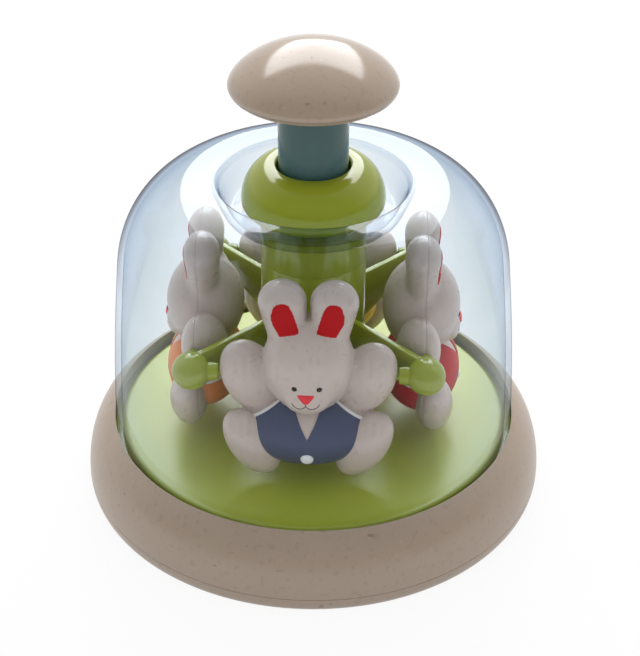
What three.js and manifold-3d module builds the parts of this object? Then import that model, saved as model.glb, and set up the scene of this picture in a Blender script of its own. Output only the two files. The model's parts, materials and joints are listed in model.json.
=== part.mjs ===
// A carousel spinner toy: a clear dome on a round base, with a push knob that spins four hanging rabbits.
// Millimetres, +Z up, origin at the centre of the underside. The first rabbit faces -Y.

import * as THREE from 'three';
import { mergeVertices } from 'three/addons/utils/BufferGeometryUtils.js';
import Module from 'manifold-3d';

const wasm = await Module();
wasm.setup();

// Clearances and allowances
const fitGap = 0.3; // between pieces that seat on or pass through each other
const runGap = 0.8; // between the turning column and the fixed sleeve inside it
const overrun = 2; // how far a cutting solid runs past what it cuts
const weldDistance = 0.0001; // vertices closer than this are one

// Clear dome
const domeFootRadius = 80.3; // outside, where it leaves the base
const domeWall = 2.4;
const domeWallLean = 5.43; // how much narrower the wall is at its top
const domeWallBulge = 0.7; // how far the wall swells out of a straight line
const wallShares = [0, 0.33, 0.67]; // where the wall's outline has its points, up its height
const domeWallHeight = 70.3; // from the base's crown to the start of the shoulder
const shoulderWidth = 30.9;
const shoulderRise = 36.7;
const shoulderStart = 8; // degrees round the shoulder's ellipse where the wall meets it
const beadWidth = 1.9;
const beadHeight = 3.3;
const wellDepth = 11.2; // from the ridge down to the seat of the hub cap

// Base ring, floor and bottom cover
const baseShoulder = 11.9; // from the crown's inner edge out to the widest place
const baseFootTuck = 2.9;
const baseWidestHeight = 5.2;
const baseWall = 2.8;
const lipHeight = 3.9;
const lipWall = 2.4;
const coverThickness = 3;
const coverRimHeight = 4.5;
const coverRimWidth = 5.5;
const floorHeight = 27.4;
const floorThickness = 2.5;
const floorEdgeRound = 2.2;
const flangeDrop = 5.4; // from the floor's top down to the top of its clamping flange
const flangeThickness = 2.7;
const floorBossRadius = 4;
const screwInset = 22.3; // from the dome's foot in to the circle of the base screws
const screwShankRadius = 1.3;
const screwHeadRadius = 2.8;
const screwHeadHeight = 1.8;
const screwGrip = 9; // how far a base screw runs into its boss
const postRadius = 8;

// Pivot
const pinRadius = 2;
const pinAnchor = 18; // length of the pivot pin below the floor's top
const washerRadius = 7;
const washerThickness = 0.8;
const clipRadius = 4.6;
const clipThickness = 0.8;

// Plunger, guide sleeve and hub cap
const stroke = 20;
const stemRadius = 13.05;
const stemWall = 2.1;
const stemCapThickness = 3;
const guideGap = 0.35;
const stopLip = 2.5; // how far the plunger's stop flange stands out of the stem
const stopFlangeHeight = 4;
const stopDrop = 8.3; // from the collar's lower edge down to the stop shoulder
const sleeveWall = 1.3;
const sleeveTail = 2;
const keyWidth = 3;
const keyDepth = 1.4;
const collarHeight = 17.2;
const collarWall = 1.2;
const spigotWall = 2.2;
const spigotDepth = 4.5; // how far the hub cap's spigot reaches into the collar
const hubRadius = 27.2;
const hubCrownWidth = 11.2;
const hubWidestRise = 3.5; // from the well's floor to the hub cap's widest place
const hubCrownRise = 14.6;
const hubTuckRise = 5.6; // half axis of the ellipse that tucks the hub cap in below
const hubHoleGap = 0.8;
const hubHoleRound = 0.7;
const hubNeckHeight = 5;
const hubWall = 2.6;
const hubHollowRise = 6.5; // from the widest place up to the top of the hollow
const wellMargin = 0.6; // flat of the well's floor outside the hub cap

// Knob
const knobRadius = 31;
const knobRise = 15.5;
const knobEdgeDrop = 3.3; // from the widest place down to the underside
const knobEdgeWidth = 6.8; // how far in from the widest place the underside starts
const knobSeamDrop = 1.3;
const knobWall = 2.4;
const knobCollarHeight = 3.6;
const knobCollarWall = 1.9;
const knobPressGap = 5; // left over the hub cap when the knob is right down
const knobBossRadius = 5;
const knobScrewRadius = 1.5;
const knobScrewGrip = 6;

// Drive: twisted rod, nut, spring and one-way clutch
const lead = 40; // height of one full turn of the twisted rod
const rodWidth = 8;
const rodThickness = 3.2;
const rodSpare = 14; // twisted rod above the nut
const rodNeck = 5; // round foot of the rod above its spring flange
const nutHeight = 6;
const nutSlotGap = 0.35;
const spindleHubRadius = 5;
const springFlangeRadius = 10.5;
const springFlangeThickness = 2;
const springRadius = 7.5;
const springWire = 1.2;
const ratchetRadius = 11;
const ratchetToothDepth = 1.6;
const ratchetHeight = 5;
const ratchetRise = 3; // from the spindle's lower end up to the ratchet wheel
const pawlRingWall = 2.2;
const pawlThickness = 1.3;
const pawlLean = 50; // degrees between a pawl and the radius that it starts on

// Carousel
const columnWall = 2.2;
const columnFloor = 3;
const hangHeight = 46.4; // pivot line of the rabbits above the floor
const ballRadius = 7.2;
const ballClearance = 6.5; // between a ball and the dome's wall
const armThickness = 2.6;
const armRootHeight = 20;
const armTipHeight = 8;
const armTopDrop = 1; // from the ball's top down to the arm's top edge
const stubRadius = 3.2;
const stubLength = 3.2;
const hangPinRadius = 1.8;
const hangPinGrip = 6.8; // how far a hanging pin reaches into a rabbit's paw

// Rabbits
const footClearance = 4;
const rabbitDepthShare = 0.5; // of a rabbit's width, so that it stays clear of the column and the dome
const rabbitWall = 2.2;
const rabbitNames = ['blue', 'orange', 'yellow', 'red']; // clockwise from the front, seen from above

const pawTilt = 25; // degrees, top outward
const legTilt = 29;

// Places and half sizes as shares of the rabbit's half width, half depth and reach below its pivot
const headShares = { center: [0, 0.07, 0.094], half: [0.52, 0.92, 0.455] };
const bodyShares = { center: [0, 0.03, -0.542], half: [0.741, 0.909, 0.401] };
const pawShares = { center: [0.645, 0, -0.052], half: [0.309, 0.497, 0.391] };
const legShares = { center: [0.641, -0.279, -0.672], half: [0.272, 0.436, 0.368] };
const earShares = { low: [0.22, 0.32], high: [0.29, 0.715], radii: [0.179, 0.203], back: 0.09, flat: 0.79 };

// Outline of the knob's crown, from its widest place up, as shares of its radius and its rise
const knobCrownShares = [
  [1, 0], [0.98, 0.13], [0.91, 0.31], [0.8, 0.49],
  [0.66, 0.66], [0.5, 0.8], [0.32, 0.91], [0, 1],
];

// Numbers of facets
const wideFacets = 32;
const facets = 24;
const narrowFacets = 16;
const smallFacets = 8;
const bodyFacets = 14; // of a rabbit's head and body
const bodyRings = 8;
const limbFacets = 10;
const limbRings = 6;
const hollowRings = 5;
const twistFacets = 32; // steps in one turn of the twisted rod

// Colours and finishes
const finishes = {
  tan: { color: 0xb8aa95, roughness: 0.5, metalness: 0 },
  green: { color: 0x86a02e, roughness: 0.25, metalness: 0 },
  teal: { color: 0x4f7775, roughness: 0.4, metalness: 0 },
  clear: { color: 0xcfe0ec, roughness: 0.05, metalness: 0, transparent: true, opacity: 0.3 },
  cream: { color: 0xcfc8bf, roughness: 0.45, metalness: 0 },
  white: { color: 0xe8e6e0, roughness: 0.5, metalness: 0 },
  steel: { color: 0xa9adb1, roughness: 0.3, metalness: 1 },
};

// Heights from the underside up, each one from the piece below it
const flangeTop = floorHeight - flangeDrop;
const domeFootHeight = flangeTop + fitGap;
const beadTop = domeFootHeight + beadHeight;
const crownHeight = beadTop + fitGap + lipHeight;
const washerBottom = floorHeight + fitGap;
const columnBottom = washerBottom + washerThickness + fitGap;
const clipBottom = columnBottom + columnFloor + fitGap;
const spindleBottom = clipBottom + clipThickness + fitGap;
const ratchetBottom = spindleBottom + ratchetRise;
const springFlangeBottom = ratchetBottom + ratchetHeight + fitGap;
const springFlangeTop = springFlangeBottom + springFlangeThickness;
const pivotTop = springFlangeTop;
const ridgeHeight = crownHeight + domeWallHeight + shoulderRise * (1 - Math.sin(rad(shoulderStart)));
const wellFloorHeight = ridgeHeight - wellDepth;
const collarTop = wellFloorHeight - domeWall - fitGap;
const collarBottom = collarTop - collarHeight;
const columnTop = collarBottom - fitGap;
const stopHeight = collarBottom - stopDrop;
const stopFlangeTop = stopHeight - fitGap;
const stopFlangeBottom = stopFlangeTop - stopFlangeHeight;
const sleeveBottom = stopFlangeBottom - stroke - sleeveTail;
const hubBottom = wellFloorHeight + fitGap;
const hubWidestHeight = wellFloorHeight + hubWidestRise;
const hubTop = hubWidestHeight + hubCrownRise;
const knobBottom = hubTop + stroke + knobPressGap;
const knobUnderside = knobBottom + knobCollarHeight;
const knobWidestHeight = knobUnderside + knobEdgeDrop;
const knobTop = knobWidestHeight + knobRise;
const stemTop = knobWidestHeight;
const pivotLineHeight = floorHeight + hangHeight;

// Radii from the axis out
const stemBore = stemRadius - stemWall;
const guideBore = stemRadius + guideGap;
const stopFlangeRadius = stemRadius + stopLip;
const sleeveBore = stopFlangeRadius + guideGap;
const sleeveRadius = sleeveBore + sleeveWall;
const columnBore = sleeveRadius + runGap;
const columnRadius = columnBore + columnWall;
const collarBore = columnRadius - collarWall;
const spigotRadius = collarBore - fitGap;
const spigotBore = spigotRadius - spigotWall;
const pinBore = pinRadius + fitGap;
const screwCircleRadius = domeFootRadius - screwInset;
const crownRadius = domeFootRadius + fitGap;
const baseRadius = crownRadius + baseShoulder;
const baseFootRadius = baseRadius - baseFootTuck;
const beadRadius = domeFootRadius + beadWidth;
const grooveRadius = beadRadius + fitGap;
const ridgeRadius = domeFootRadius - domeWallLean - shoulderWidth * Math.cos(rad(shoulderStart));
const ballCircleRadius = wallRadius(pivotLineHeight) - domeWall - ballClearance - ballRadius;
const hangRadius = ballCircleRadius * Math.cos(Math.PI / 4);
const rabbitHalfWidth = hangRadius - ballRadius - stubLength;
const rabbitHalfDepth = rabbitHalfWidth * rabbitDepthShare;
const rabbitReach = hangHeight - footClearance;

// Helpers

function rad(degrees) {
  return degrees * Math.PI / 180;
}

function arc([r, z], [halfWidth, halfHeight], from, to, steps) {
  const points = [];
  for (let i = 0; i <= steps; i++) {
    const angle = rad(from + (to - from) * i / steps);
    points.push([r + halfWidth * Math.cos(angle), z + halfHeight * Math.sin(angle)]);
  }
  return points;
}

// Points moved square to the line through them, to its left
function offset(points, distance) {
  return points.map(([r, z], i) => {
    const [r0, z0] = points[Math.max(i - 1, 0)];
    const [r1, z1] = points[Math.min(i + 1, points.length - 1)];
    const length = Math.hypot(r1 - r0, z1 - z0);
    return [r - distance * (z1 - z0) / length, z + distance * (r1 - r0) / length];
  });
}

function closed(points) {
  return [...points, points[0]];
}

// A solid of revolution about Z, from an outline of radius and height that runs up its outer side
function revolve(outline, count) {
  const points = outline.map(([r, z]) => new THREE.Vector2(r, z));
  return new THREE.LatheGeometry(points, count).rotateX(Math.PI / 2);
}

function ring(bore, radius, bottom, height, count) {
  const top = bottom + height;
  return revolve(closed([[bore, bottom], [radius, bottom], [radius, top], [bore, top]]), count);
}

function rod(radius, bottom, top, count) {
  return revolve([[0, bottom], [radius, bottom], [radius, top], [0, top]], count);
}

function block(width, depth, height) {
  return new THREE.BoxGeometry(width, depth, height);
}

function ellipsoid([x, y, z], [halfX, halfY, halfZ], around, along) {
  const ball = new THREE.SphereGeometry(1, around, along).rotateX(Math.PI / 2);
  return ball.scale(halfX, halfY, halfZ).translate(x, y, z);
}

// A closed skin over rings of points that all run the same way round
function loft(rings) {
  const count = rings[0].length;
  const last = (rings.length - 1) * count;
  const positions = rings.flat().flatMap((p) => [p.x, p.y, p.z]);
  const index = [];
  for (let i = 0; i + 1 < rings.length; i++) {
    for (let j = 0; j < count; j++) {
      const a = i * count + j;
      const b = i * count + (j + 1) % count;
      index.push(a, b, b + count, a, b + count, a + count);
    }
  }
  for (let j = 1; j + 1 < count; j++) {
    index.push(0, j + 1, j, last, last + j, last + j + 1);
  }
  const geometry = new THREE.BufferGeometry();
  geometry.setAttribute('position', new THREE.Float32BufferAttribute(positions, 3));
  geometry.setIndex(index);
  return geometry;
}

function toSolid(source) {
  const bare = source.clone();
  bare.deleteAttribute('normal');
  bare.deleteAttribute('uv');
  const merged = mergeVertices(bare, weldDistance);
  const vertProperties = new Float32Array(merged.attributes.position.array);
  const triVerts = new Uint32Array(merged.index.array);
  return new wasm.Manifold(new wasm.Mesh({ numProp: 3, vertProperties, triVerts }));
}

function toGeometry(solid) {
  const mesh = solid.getMesh();
  const geometry = new THREE.BufferGeometry();
  geometry.setAttribute('position', new THREE.BufferAttribute(mesh.vertProperties, 3));
  geometry.setIndex(new THREE.BufferAttribute(mesh.triVerts, 1));
  geometry.computeVertexNormals();
  return geometry;
}

function join(...geometries) {
  return geometries.map(toSolid).reduce((whole, solid) => whole.add(solid));
}

function cut(solid, ...geometries) {
  return geometries.map(toSolid).reduce((rest, solid) => rest.subtract(solid), solid);
}

function piece(name, geometry, finish) {
  const mesh = new THREE.Mesh(geometry, new THREE.MeshStandardMaterial(finishes[finish]));
  mesh.name = name;
  return mesh;
}

function quarterTurns(make) {
  return [0, 1, 2, 3].map(make);
}

// Base

function footRadiusAt(height) {
  const drop = (baseWidestHeight - height) / baseWidestHeight;
  return baseFootRadius + baseFootTuck * Math.sqrt(1 - drop * drop);
}

// Outside radius of the dome's wall, from its foot to the start of the shoulder
function wallRadius(height) {
  const share = Math.max(0, (height - crownHeight) / domeWallHeight);
  return domeFootRadius - domeWallLean * share + domeWallBulge * Math.sin(Math.PI * share);
}

function onScrewCircle(geometry, i) {
  return geometry.translate(screwCircleRadius, 0, 0).rotateZ(i * Math.PI / 2);
}

function baseRing() {
  const bottom = coverRimHeight + fitGap;
  const rise = crownHeight - baseWidestHeight;
  const outside = arc([crownRadius, baseWidestHeight], [baseShoulder, rise], 0, 90, 7);
  const inside = offset(outside.slice(0, 4), baseWall).reverse();
  const channelRadius = grooveRadius + lipWall;
  const outline = [
    [footRadiusAt(bottom), bottom],
    ...outside,
    [crownRadius, beadTop + fitGap],
    [grooveRadius, beadTop + fitGap],
    [grooveRadius, bottom],
    [channelRadius, bottom],
    [channelRadius, inside[0][1]],
    ...inside,
    [footRadiusAt(bottom) - baseWall, bottom],
  ];
  return piece('base_ring', revolve(closed(outline), wideFacets), 'tan');
}

function screwHole(i) {
  const shank = rod(screwShankRadius + fitGap, -overrun, coverThickness + overrun, smallFacets);
  const head = rod(screwHeadRadius + fitGap, -overrun, screwHeadHeight + fitGap, smallFacets);
  return [onScrewCircle(shank, i), onScrewCircle(head, i)];
}

function bottomCover() {
  const seam = -Math.asin((baseWidestHeight - coverRimHeight) / baseWidestHeight) * 180 / Math.PI;
  const edge = arc([baseFootRadius, baseWidestHeight], [baseFootTuck, baseWidestHeight], -90, seam, 3);
  const rimInside = footRadiusAt(coverRimHeight) - coverRimWidth;
  const postTop = floorHeight - floorThickness - fitGap;
  const boreBottom = floorHeight - pinAnchor - fitGap;
  const outline = [
    [0, 0],
    ...edge,
    [rimInside, coverRimHeight],
    [rimInside, coverThickness],
    [postRadius, coverThickness],
    [postRadius, postTop],
    [pinBore, postTop],
    [pinBore, boreBottom],
    [0, boreBottom],
  ];
  const holes = quarterTurns(screwHole).flat();
  return piece('bottom_cover', toGeometry(cut(toSolid(revolve(outline, wideFacets)), ...holes)), 'tan');
}

function baseScrew(i) {
  const headBottom = fitGap;
  const headTop = headBottom + screwHeadHeight - fitGap;
  const top = coverThickness + fitGap + screwGrip;
  const screw = revolve([
    [0, headBottom],
    [screwHeadRadius, headBottom],
    [screwHeadRadius, headTop],
    [screwShankRadius, headTop],
    [screwShankRadius, top],
    [0, top],
  ], smallFacets);
  return piece(`base_screw_${i + 1}`, onScrewCircle(screw, i), 'steel');
}

function floorDisc() {
  const underside = floorHeight - floorThickness;
  const rimRadius = domeFootRadius - domeWall - fitGap;
  const skirtBore = rimRadius - floorThickness;
  const flangeBottom = flangeTop - flangeThickness;
  const edgeHeight = floorHeight - floorEdgeRound;
  const edge = arc([rimRadius - floorEdgeRound, edgeHeight], [floorEdgeRound, floorEdgeRound], 0, 90, 2);
  const outline = [
    [skirtBore, flangeBottom],
    [beadRadius, flangeBottom],
    [beadRadius, flangeTop],
    [rimRadius, flangeTop],
    ...edge,
    [pinBore, floorHeight],
    [pinBore, underside],
    [skirtBore, underside],
  ];
  const disc = toSolid(revolve(closed(outline), wideFacets));
  const bossBottom = coverThickness + fitGap;
  const boss = rod(floorBossRadius, bossBottom, underside + fitGap, smallFacets);
  const holeTop = bossBottom + screwGrip + fitGap;
  const hole = rod(screwShankRadius + fitGap, bossBottom - overrun, holeTop, smallFacets);
  const bosses = quarterTurns((i) => toSolid(onScrewCircle(boss.clone(), i)));
  const holes = quarterTurns((i) => onScrewCircle(hole.clone(), i));
  const bossed = bosses.reduce((whole, solid) => whole.add(solid), disc);
  return piece('floor_disc', toGeometry(cut(bossed, ...holes)), 'green');
}

function pivotPin() {
  return piece('pivot_pin', rod(pinRadius, floorHeight - pinAnchor, pivotTop, smallFacets), 'steel');
}

function thrustWasher() {
  const washer = ring(pinBore, washerRadius, washerBottom, washerThickness, narrowFacets);
  return piece('thrust_washer', washer, 'white');
}

// Dome and hub

function domeOutside() {
  const wall = [];
  for (const share of wallShares) {
    const height = crownHeight + domeWallHeight * share;
    wall.push([wallRadius(height), height]);
  }
  const shoulderCenter = [ridgeRadius, ridgeHeight - shoulderRise];
  const shoulder = arc(shoulderCenter, [shoulderWidth, shoulderRise], shoulderStart, 90, 6);
  const wellRadius = hubRadius + wellMargin;
  const well = [];
  for (let i = 1; i <= 4; i++) {
    const share = i / 4;
    const drop = wellDepth * (1 - Math.cos(Math.PI * share)) / 2;
    well.push([ridgeRadius + (wellRadius - ridgeRadius) * share, ridgeHeight - drop]);
  }
  return [[domeFootRadius, beadTop], ...wall, ...shoulder, ...well, [collarBore, wellFloorHeight]];
}

function clearDome() {
  const outside = domeOutside();
  const inside = offset(outside, domeWall).reverse();
  const outline = [
    [domeFootRadius - domeWall, domeFootHeight],
    [beadRadius, domeFootHeight],
    [beadRadius, beadTop],
    ...outside,
    ...inside,
  ];
  return piece('clear_dome', revolve(closed(outline), wideFacets), 'clear');
}

function hubCap() {
  const crownCenter = [hubRadius - hubCrownWidth, hubWidestHeight];
  const footRise = hubWidestHeight - hubBottom;
  const footAngle = -Math.asin(footRise / hubTuckRise) * 180 / Math.PI;
  const tuck = arc(crownCenter, [hubCrownWidth, hubTuckRise], footAngle, 0, 3);
  const crown = arc(crownCenter, [hubCrownWidth, hubCrownRise], 0, 90, 4).slice(1);
  const holeRadius = stemRadius + hubHoleGap;
  const neckBottom = hubTop - hubNeckHeight;
  const spigotBottom = collarTop - spigotDepth;
  const hollowRadius = tuck[0][0] - hubWall;
  const hollowTop = hubWidestHeight + hubHollowRise;
  const outline = [
    ...tuck,
    ...crown,
    [holeRadius + hubHoleRound, hubTop],
    [holeRadius, hubTop - hubHoleRound],
    [holeRadius, neckBottom],
    [spigotBore, neckBottom],
    [spigotBore, spigotBottom],
    [spigotRadius, spigotBottom],
    [spigotRadius, hollowTop],
    [hollowRadius, hollowTop],
    [hollowRadius, hubBottom],
  ];
  return piece('hub_cap', revolve(closed(outline), facets), 'green');
}

function guideSleeve() {
  const counterboreBottom = collarTop - spigotDepth - fitGap;
  const outline = [
    [sleeveBore, sleeveBottom],
    [sleeveRadius, sleeveBottom],
    [sleeveRadius, collarBottom],
    [columnRadius, collarBottom],
    [columnRadius, collarTop],
    [collarBore, collarTop],
    [collarBore, counterboreBottom],
    [guideBore, counterboreBottom],
    [guideBore, stopHeight],
    [sleeveBore, stopHeight],
  ];
  const height = stopHeight - sleeveBottom;
  const keyReach = keyDepth + sleeveWall / 2;
  const keyRadius = sleeveBore - keyDepth + keyReach / 2;
  const middle = sleeveBottom + height / 2;
  const key = (side) => toSolid(block(keyWidth, keyReach, height).translate(0, side * keyRadius, middle));
  const sleeve = toSolid(revolve(closed(outline), facets)).add(key(1)).add(key(-1));
  return piece('guide_sleeve', toGeometry(sleeve), 'green');
}

// Knob and plunger

function knobCrown(radius, rise) {
  return knobCrownShares.map(([out, up]) => [radius * out, knobWidestHeight + rise * up]);
}

// Outline of the knob's lower edge between two drops below its widest place, from the lower one up
function knobEdge(lowDrop, highDrop, steps) {
  const center = [knobRadius - knobEdgeWidth, knobWidestHeight];
  const [from, to] = [lowDrop, highDrop].map((drop) => -Math.asin(drop / knobEdgeDrop) * 180 / Math.PI);
  return arc(center, [knobEdgeWidth, knobEdgeDrop], from, to, steps);
}

function knobCap() {
  const outside = knobCrown(knobRadius, knobRise);
  const inside = knobCrown(knobRadius - knobWall, knobRise - knobWall).slice(0, -1).reverse();
  const edge = knobEdge(knobSeamDrop, 0, 1);
  const bossBottom = stemTop + fitGap;
  const screwBore = knobScrewRadius + fitGap;
  const boreTop = bossBottom + knobScrewGrip + fitGap;
  const outline = [
    [0, boreTop],
    [screwBore, boreTop],
    [screwBore, bossBottom],
    [knobBossRadius, bossBottom],
    [knobBossRadius, inside[0][1]],
    ...inside,
    [knobRadius - knobWall, edge[0][1]],
    edge[0],
    ...outside,
  ];
  return piece('knob_cap', revolve(outline, facets), 'tan');
}

function knobUnder() {
  const collarRadius = stemRadius + fitGap + knobCollarWall;
  const edge = knobEdge(knobEdgeDrop, knobSeamDrop + fitGap, 3);
  const outline = [
    [stemRadius + fitGap, knobBottom],
    [collarRadius, knobBottom],
    [collarRadius, knobUnderside],
    ...edge,
    [stemRadius + fitGap, edge[edge.length - 1][1]],
  ];
  return piece('knob_underside', revolve(closed(outline), facets), 'tan');
}

function knobScrew() {
  const capBottom = stemTop - stemCapThickness;
  const headTop = capBottom - fitGap;
  const screw = revolve([
    [0, headTop - screwHeadHeight],
    [screwHeadRadius, headTop - screwHeadHeight],
    [screwHeadRadius, headTop],
    [knobScrewRadius, headTop],
    [knobScrewRadius, stemTop + fitGap + knobScrewGrip],
    [0, stemTop + fitGap + knobScrewGrip],
  ], smallFacets);
  return piece('knob_screw', screw, 'steel');
}

function plungerTube() {
  const capBottom = stemTop - stemCapThickness;
  const screwBore = knobScrewRadius + fitGap;
  const outline = [
    [stemBore, stopFlangeBottom],
    [stopFlangeRadius, stopFlangeBottom],
    [stopFlangeRadius, stopFlangeTop],
    [stemRadius, stopFlangeTop],
    [stemRadius, stemTop],
    [screwBore, stemTop],
    [screwBore, capBottom],
    [stemBore, capBottom],
  ];
  const notchDepth = keyDepth + 2 * fitGap;
  const notchWidth = keyWidth + 2 * fitGap;
  const notchRadius = stopFlangeRadius + overrun / 2 - notchDepth / 2;
  const notch = (side) => block(notchWidth, notchDepth + overrun, stopFlangeHeight + overrun)
    .translate(0, side * notchRadius, stopFlangeBottom + stopFlangeHeight / 2);
  const tube = cut(toSolid(revolve(closed(outline), facets)), notch(1), notch(-1));
  return piece('plunger_tube', toGeometry(tube), 'teal');
}

// Drive

// A bar of rectangular section that turns once in each lead, in step with the rod's height
function twistedBar(width, thickness, bottom, top) {
  const corners = [[0, 1], [-1, 1], [-1, -1], [0, -1], [1, -1], [1, 1]];
  const steps = Math.ceil((top - bottom) / lead * twistFacets);
  const rings = [];
  for (let i = 0; i <= steps; i++) {
    const height = bottom + (top - bottom) * i / steps;
    const turn = 2 * Math.PI * height / lead;
    rings.push(corners.map(([x, y]) => {
      const corner = new THREE.Vector3(x * width / 2, y * thickness / 2, height);
      return corner.applyAxisAngle(new THREE.Vector3(0, 0, 1), turn);
    }));
  }
  return loft(rings);
}

function driveRod() {
  const neckTop = springFlangeTop + rodNeck;
  const boreTop = pivotTop + fitGap;
  const foot = revolve([
    [0, boreTop],
    [pinBore, boreTop],
    [pinBore, spindleBottom],
    [spindleHubRadius, spindleBottom],
    [spindleHubRadius, springFlangeBottom],
    [springFlangeRadius, springFlangeBottom],
    [springFlangeRadius, springFlangeTop],
    [spindleHubRadius, springFlangeTop],
    [spindleHubRadius, neckTop],
    [0, neckTop],
  ], narrowFacets);
  const bar = twistedBar(rodWidth, rodThickness, neckTop - fitGap, stopFlangeTop + rodSpare);
  return piece('drive_rod', toGeometry(join(foot, bar)), 'white');
}

function driveNut() {
  const radius = stemBore - fitGap;
  const bottom = stopFlangeBottom;
  const top = bottom + nutHeight;
  const slotWidth = rodWidth + 2 * nutSlotGap;
  const slotThickness = rodThickness + 2 * nutSlotGap;
  const slot = twistedBar(slotWidth, slotThickness, bottom - overrun, top + overrun);
  return piece('drive_nut', toGeometry(cut(toSolid(rod(radius, bottom, top, narrowFacets)), slot)), 'white');
}

function returnSpring() {
  const bottom = springFlangeTop + fitGap + springWire / 2;
  const top = stopFlangeBottom - fitGap - springWire / 2;
  const turns = 8;
  const stepsPerTurn = 8;
  const sides = 5;
  const rings = [];
  for (let i = 0; i <= turns * stepsPerTurn; i++) {
    const turn = 2 * Math.PI * i / stepsPerTurn;
    const height = bottom + (top - bottom) * i / (turns * stepsPerTurn);
    rings.push(Array.from({ length: sides }, (_, j) => {
      const around = 2 * Math.PI * j / sides;
      const radius = springRadius + springWire / 2 * Math.cos(around);
      return new THREE.Vector3(radius * Math.cos(turn), radius * Math.sin(turn),
        height - springWire / 2 * Math.sin(around));
    }));
  }
  return piece('return_spring', loft(rings), 'steel');
}

function ratchetWheel() {
  const teeth = 12;
  const outline = [];
  for (let i = 0; i < teeth; i++) {
    const tip = new THREE.Vector2(1, 0).rotateAround(new THREE.Vector2(), 2 * Math.PI * i / teeth);
    outline.push(tip.clone().multiplyScalar(ratchetRadius));
    outline.push(tip.clone().multiplyScalar(ratchetRadius - ratchetToothDepth));
  }
  const extrusion = { depth: ratchetHeight, bevelEnabled: false };
  const body = new THREE.ExtrudeGeometry(new THREE.Shape(outline), extrusion);
  const bore = rod(spindleHubRadius + fitGap, -overrun, ratchetHeight + overrun, narrowFacets);
  const solid = cut(toSolid(body), bore);
  return piece('ratchet_wheel', toGeometry(solid).translate(0, 0, ratchetBottom), 'white');
}

function pawlRing() {
  const outer = columnBore - fitGap;
  const inner = outer - pawlRingWall;
  const tipRadius = ratchetRadius + fitGap;
  const length = (inner - tipRadius) / Math.cos(rad(pawlLean)) + pawlRingWall / 2;
  const pawl = (i) => block(length, pawlThickness, ratchetHeight)
    .translate(-length / 2, 0, ratchetHeight / 2)
    .rotateZ(rad(pawlLean))
    .translate(inner + pawlRingWall / 2, 0, ratchetBottom)
    .rotateZ(2 * Math.PI * i / 3);
  const body = ring(inner, outer, ratchetBottom, ratchetHeight, narrowFacets);
  return piece('pawl_ring', toGeometry(join(body, pawl(0), pawl(1), pawl(2))), 'white');
}

// Carousel

function armOutline() {
  const top = pivotLineHeight + ballRadius - armTopDrop;
  const root = columnBore + fitGap;
  const outer = ballCircleRadius;
  return [
    [root, top - armRootHeight],
    [columnRadius + armTipHeight, top - armRootHeight],
    [outer - ballRadius / 2, top - armTipHeight],
    [outer, top - armTipHeight],
    [outer, top],
    [root, top],
  ];
}

// A plate in the upright plane through the axis and +X, from an outline of radius and height
function uprightPlate(outline, thickness) {
  const shape = new THREE.Shape(outline.map(([r, z]) => new THREE.Vector2(r, z)));
  const plate = new THREE.ExtrudeGeometry(shape, { depth: thickness, bevelEnabled: false });
  return plate.rotateX(Math.PI / 2).translate(0, thickness / 2, 0);
}

function carouselColumn() {
  const outline = [
    [pinBore, columnBottom],
    [columnRadius, columnBottom],
    [columnRadius, columnTop],
    [columnBore, columnTop],
    [columnBore, columnBottom + columnFloor],
    [pinBore, columnBottom + columnFloor],
  ];
  const top = pivotLineHeight + ballRadius - armTopDrop + fitGap;
  const height = armRootHeight + 2 * fitGap;
  const width = columnWall + 2 * overrun;
  const slot = (i) => block(width, armThickness + 2 * fitGap, height)
    .translate(columnBore + columnWall / 2, 0, top - height / 2)
    .rotateZ(Math.PI / 4 + i * Math.PI / 2);
  const column = cut(toSolid(revolve(closed(outline), facets)), ...quarterTurns(slot));
  return piece('carousel_column', toGeometry(column), 'green');
}

// One arm with its ball and the two hanging pins, which run along the pivot lines of both neighbours
function carouselArm(i) {
  const web = uprightPlate(armOutline(), armThickness);
  const ball = ellipsoid([0, 0, 0], [ballRadius, ballRadius, ballRadius], 12, 8);
  const pinLength = ballRadius + stubLength + hangPinGrip;
  const stubEnd = ballRadius + stubLength - fitGap;
  const tip = rod(hangPinRadius, 0, pinLength, smallFacets);
  const pin = toGeometry(join(tip, rod(stubRadius, 0, stubEnd, smallFacets)));
  const pins = [135, -135].map((angle) => pin.clone().rotateY(Math.PI / 2).rotateZ(rad(angle)));
  const end = [ball, ...pins].map((shape) => toSolid(shape.translate(ballCircleRadius, 0, pivotLineHeight)));
  const arm = end.reduce((whole, solid) => whole.add(solid), toSolid(web));
  return piece(`carousel_arm_${i + 1}`, toGeometry(arm).rotateZ(-Math.PI / 4 - i * Math.PI / 2), 'green');
}

function pivotClip() {
  return piece('pivot_clip', ring(pinBore, clipRadius, clipBottom, clipThickness, smallFacets), 'steel');
}

// Rabbits, each in a frame with its pivot line along X and its face towards -Y

function rabbitEllipsoid({ center, half }, inset, around, along) {
  const scale = [rabbitHalfWidth, rabbitHalfDepth, rabbitReach];
  const middle = center.map((share, i) => share * scale[i]);
  return ellipsoid(middle, half.map((share, i) => share * scale[i] - inset), around, along);
}

// A paw or a leg, on the left with side -1 and on the right with side 1
function rabbitLimb({ center, half }, tilt, side) {
  const limb = rabbitEllipsoid({ center: [0, 0, 0], half }, 0, limbFacets, limbRings);
  const [x, y, z] = [center[0] * rabbitHalfWidth, center[1] * rabbitHalfDepth, center[2] * rabbitReach];
  return limb.rotateY(side * rad(tilt)).translate(side * x, y, z);
}

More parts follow.
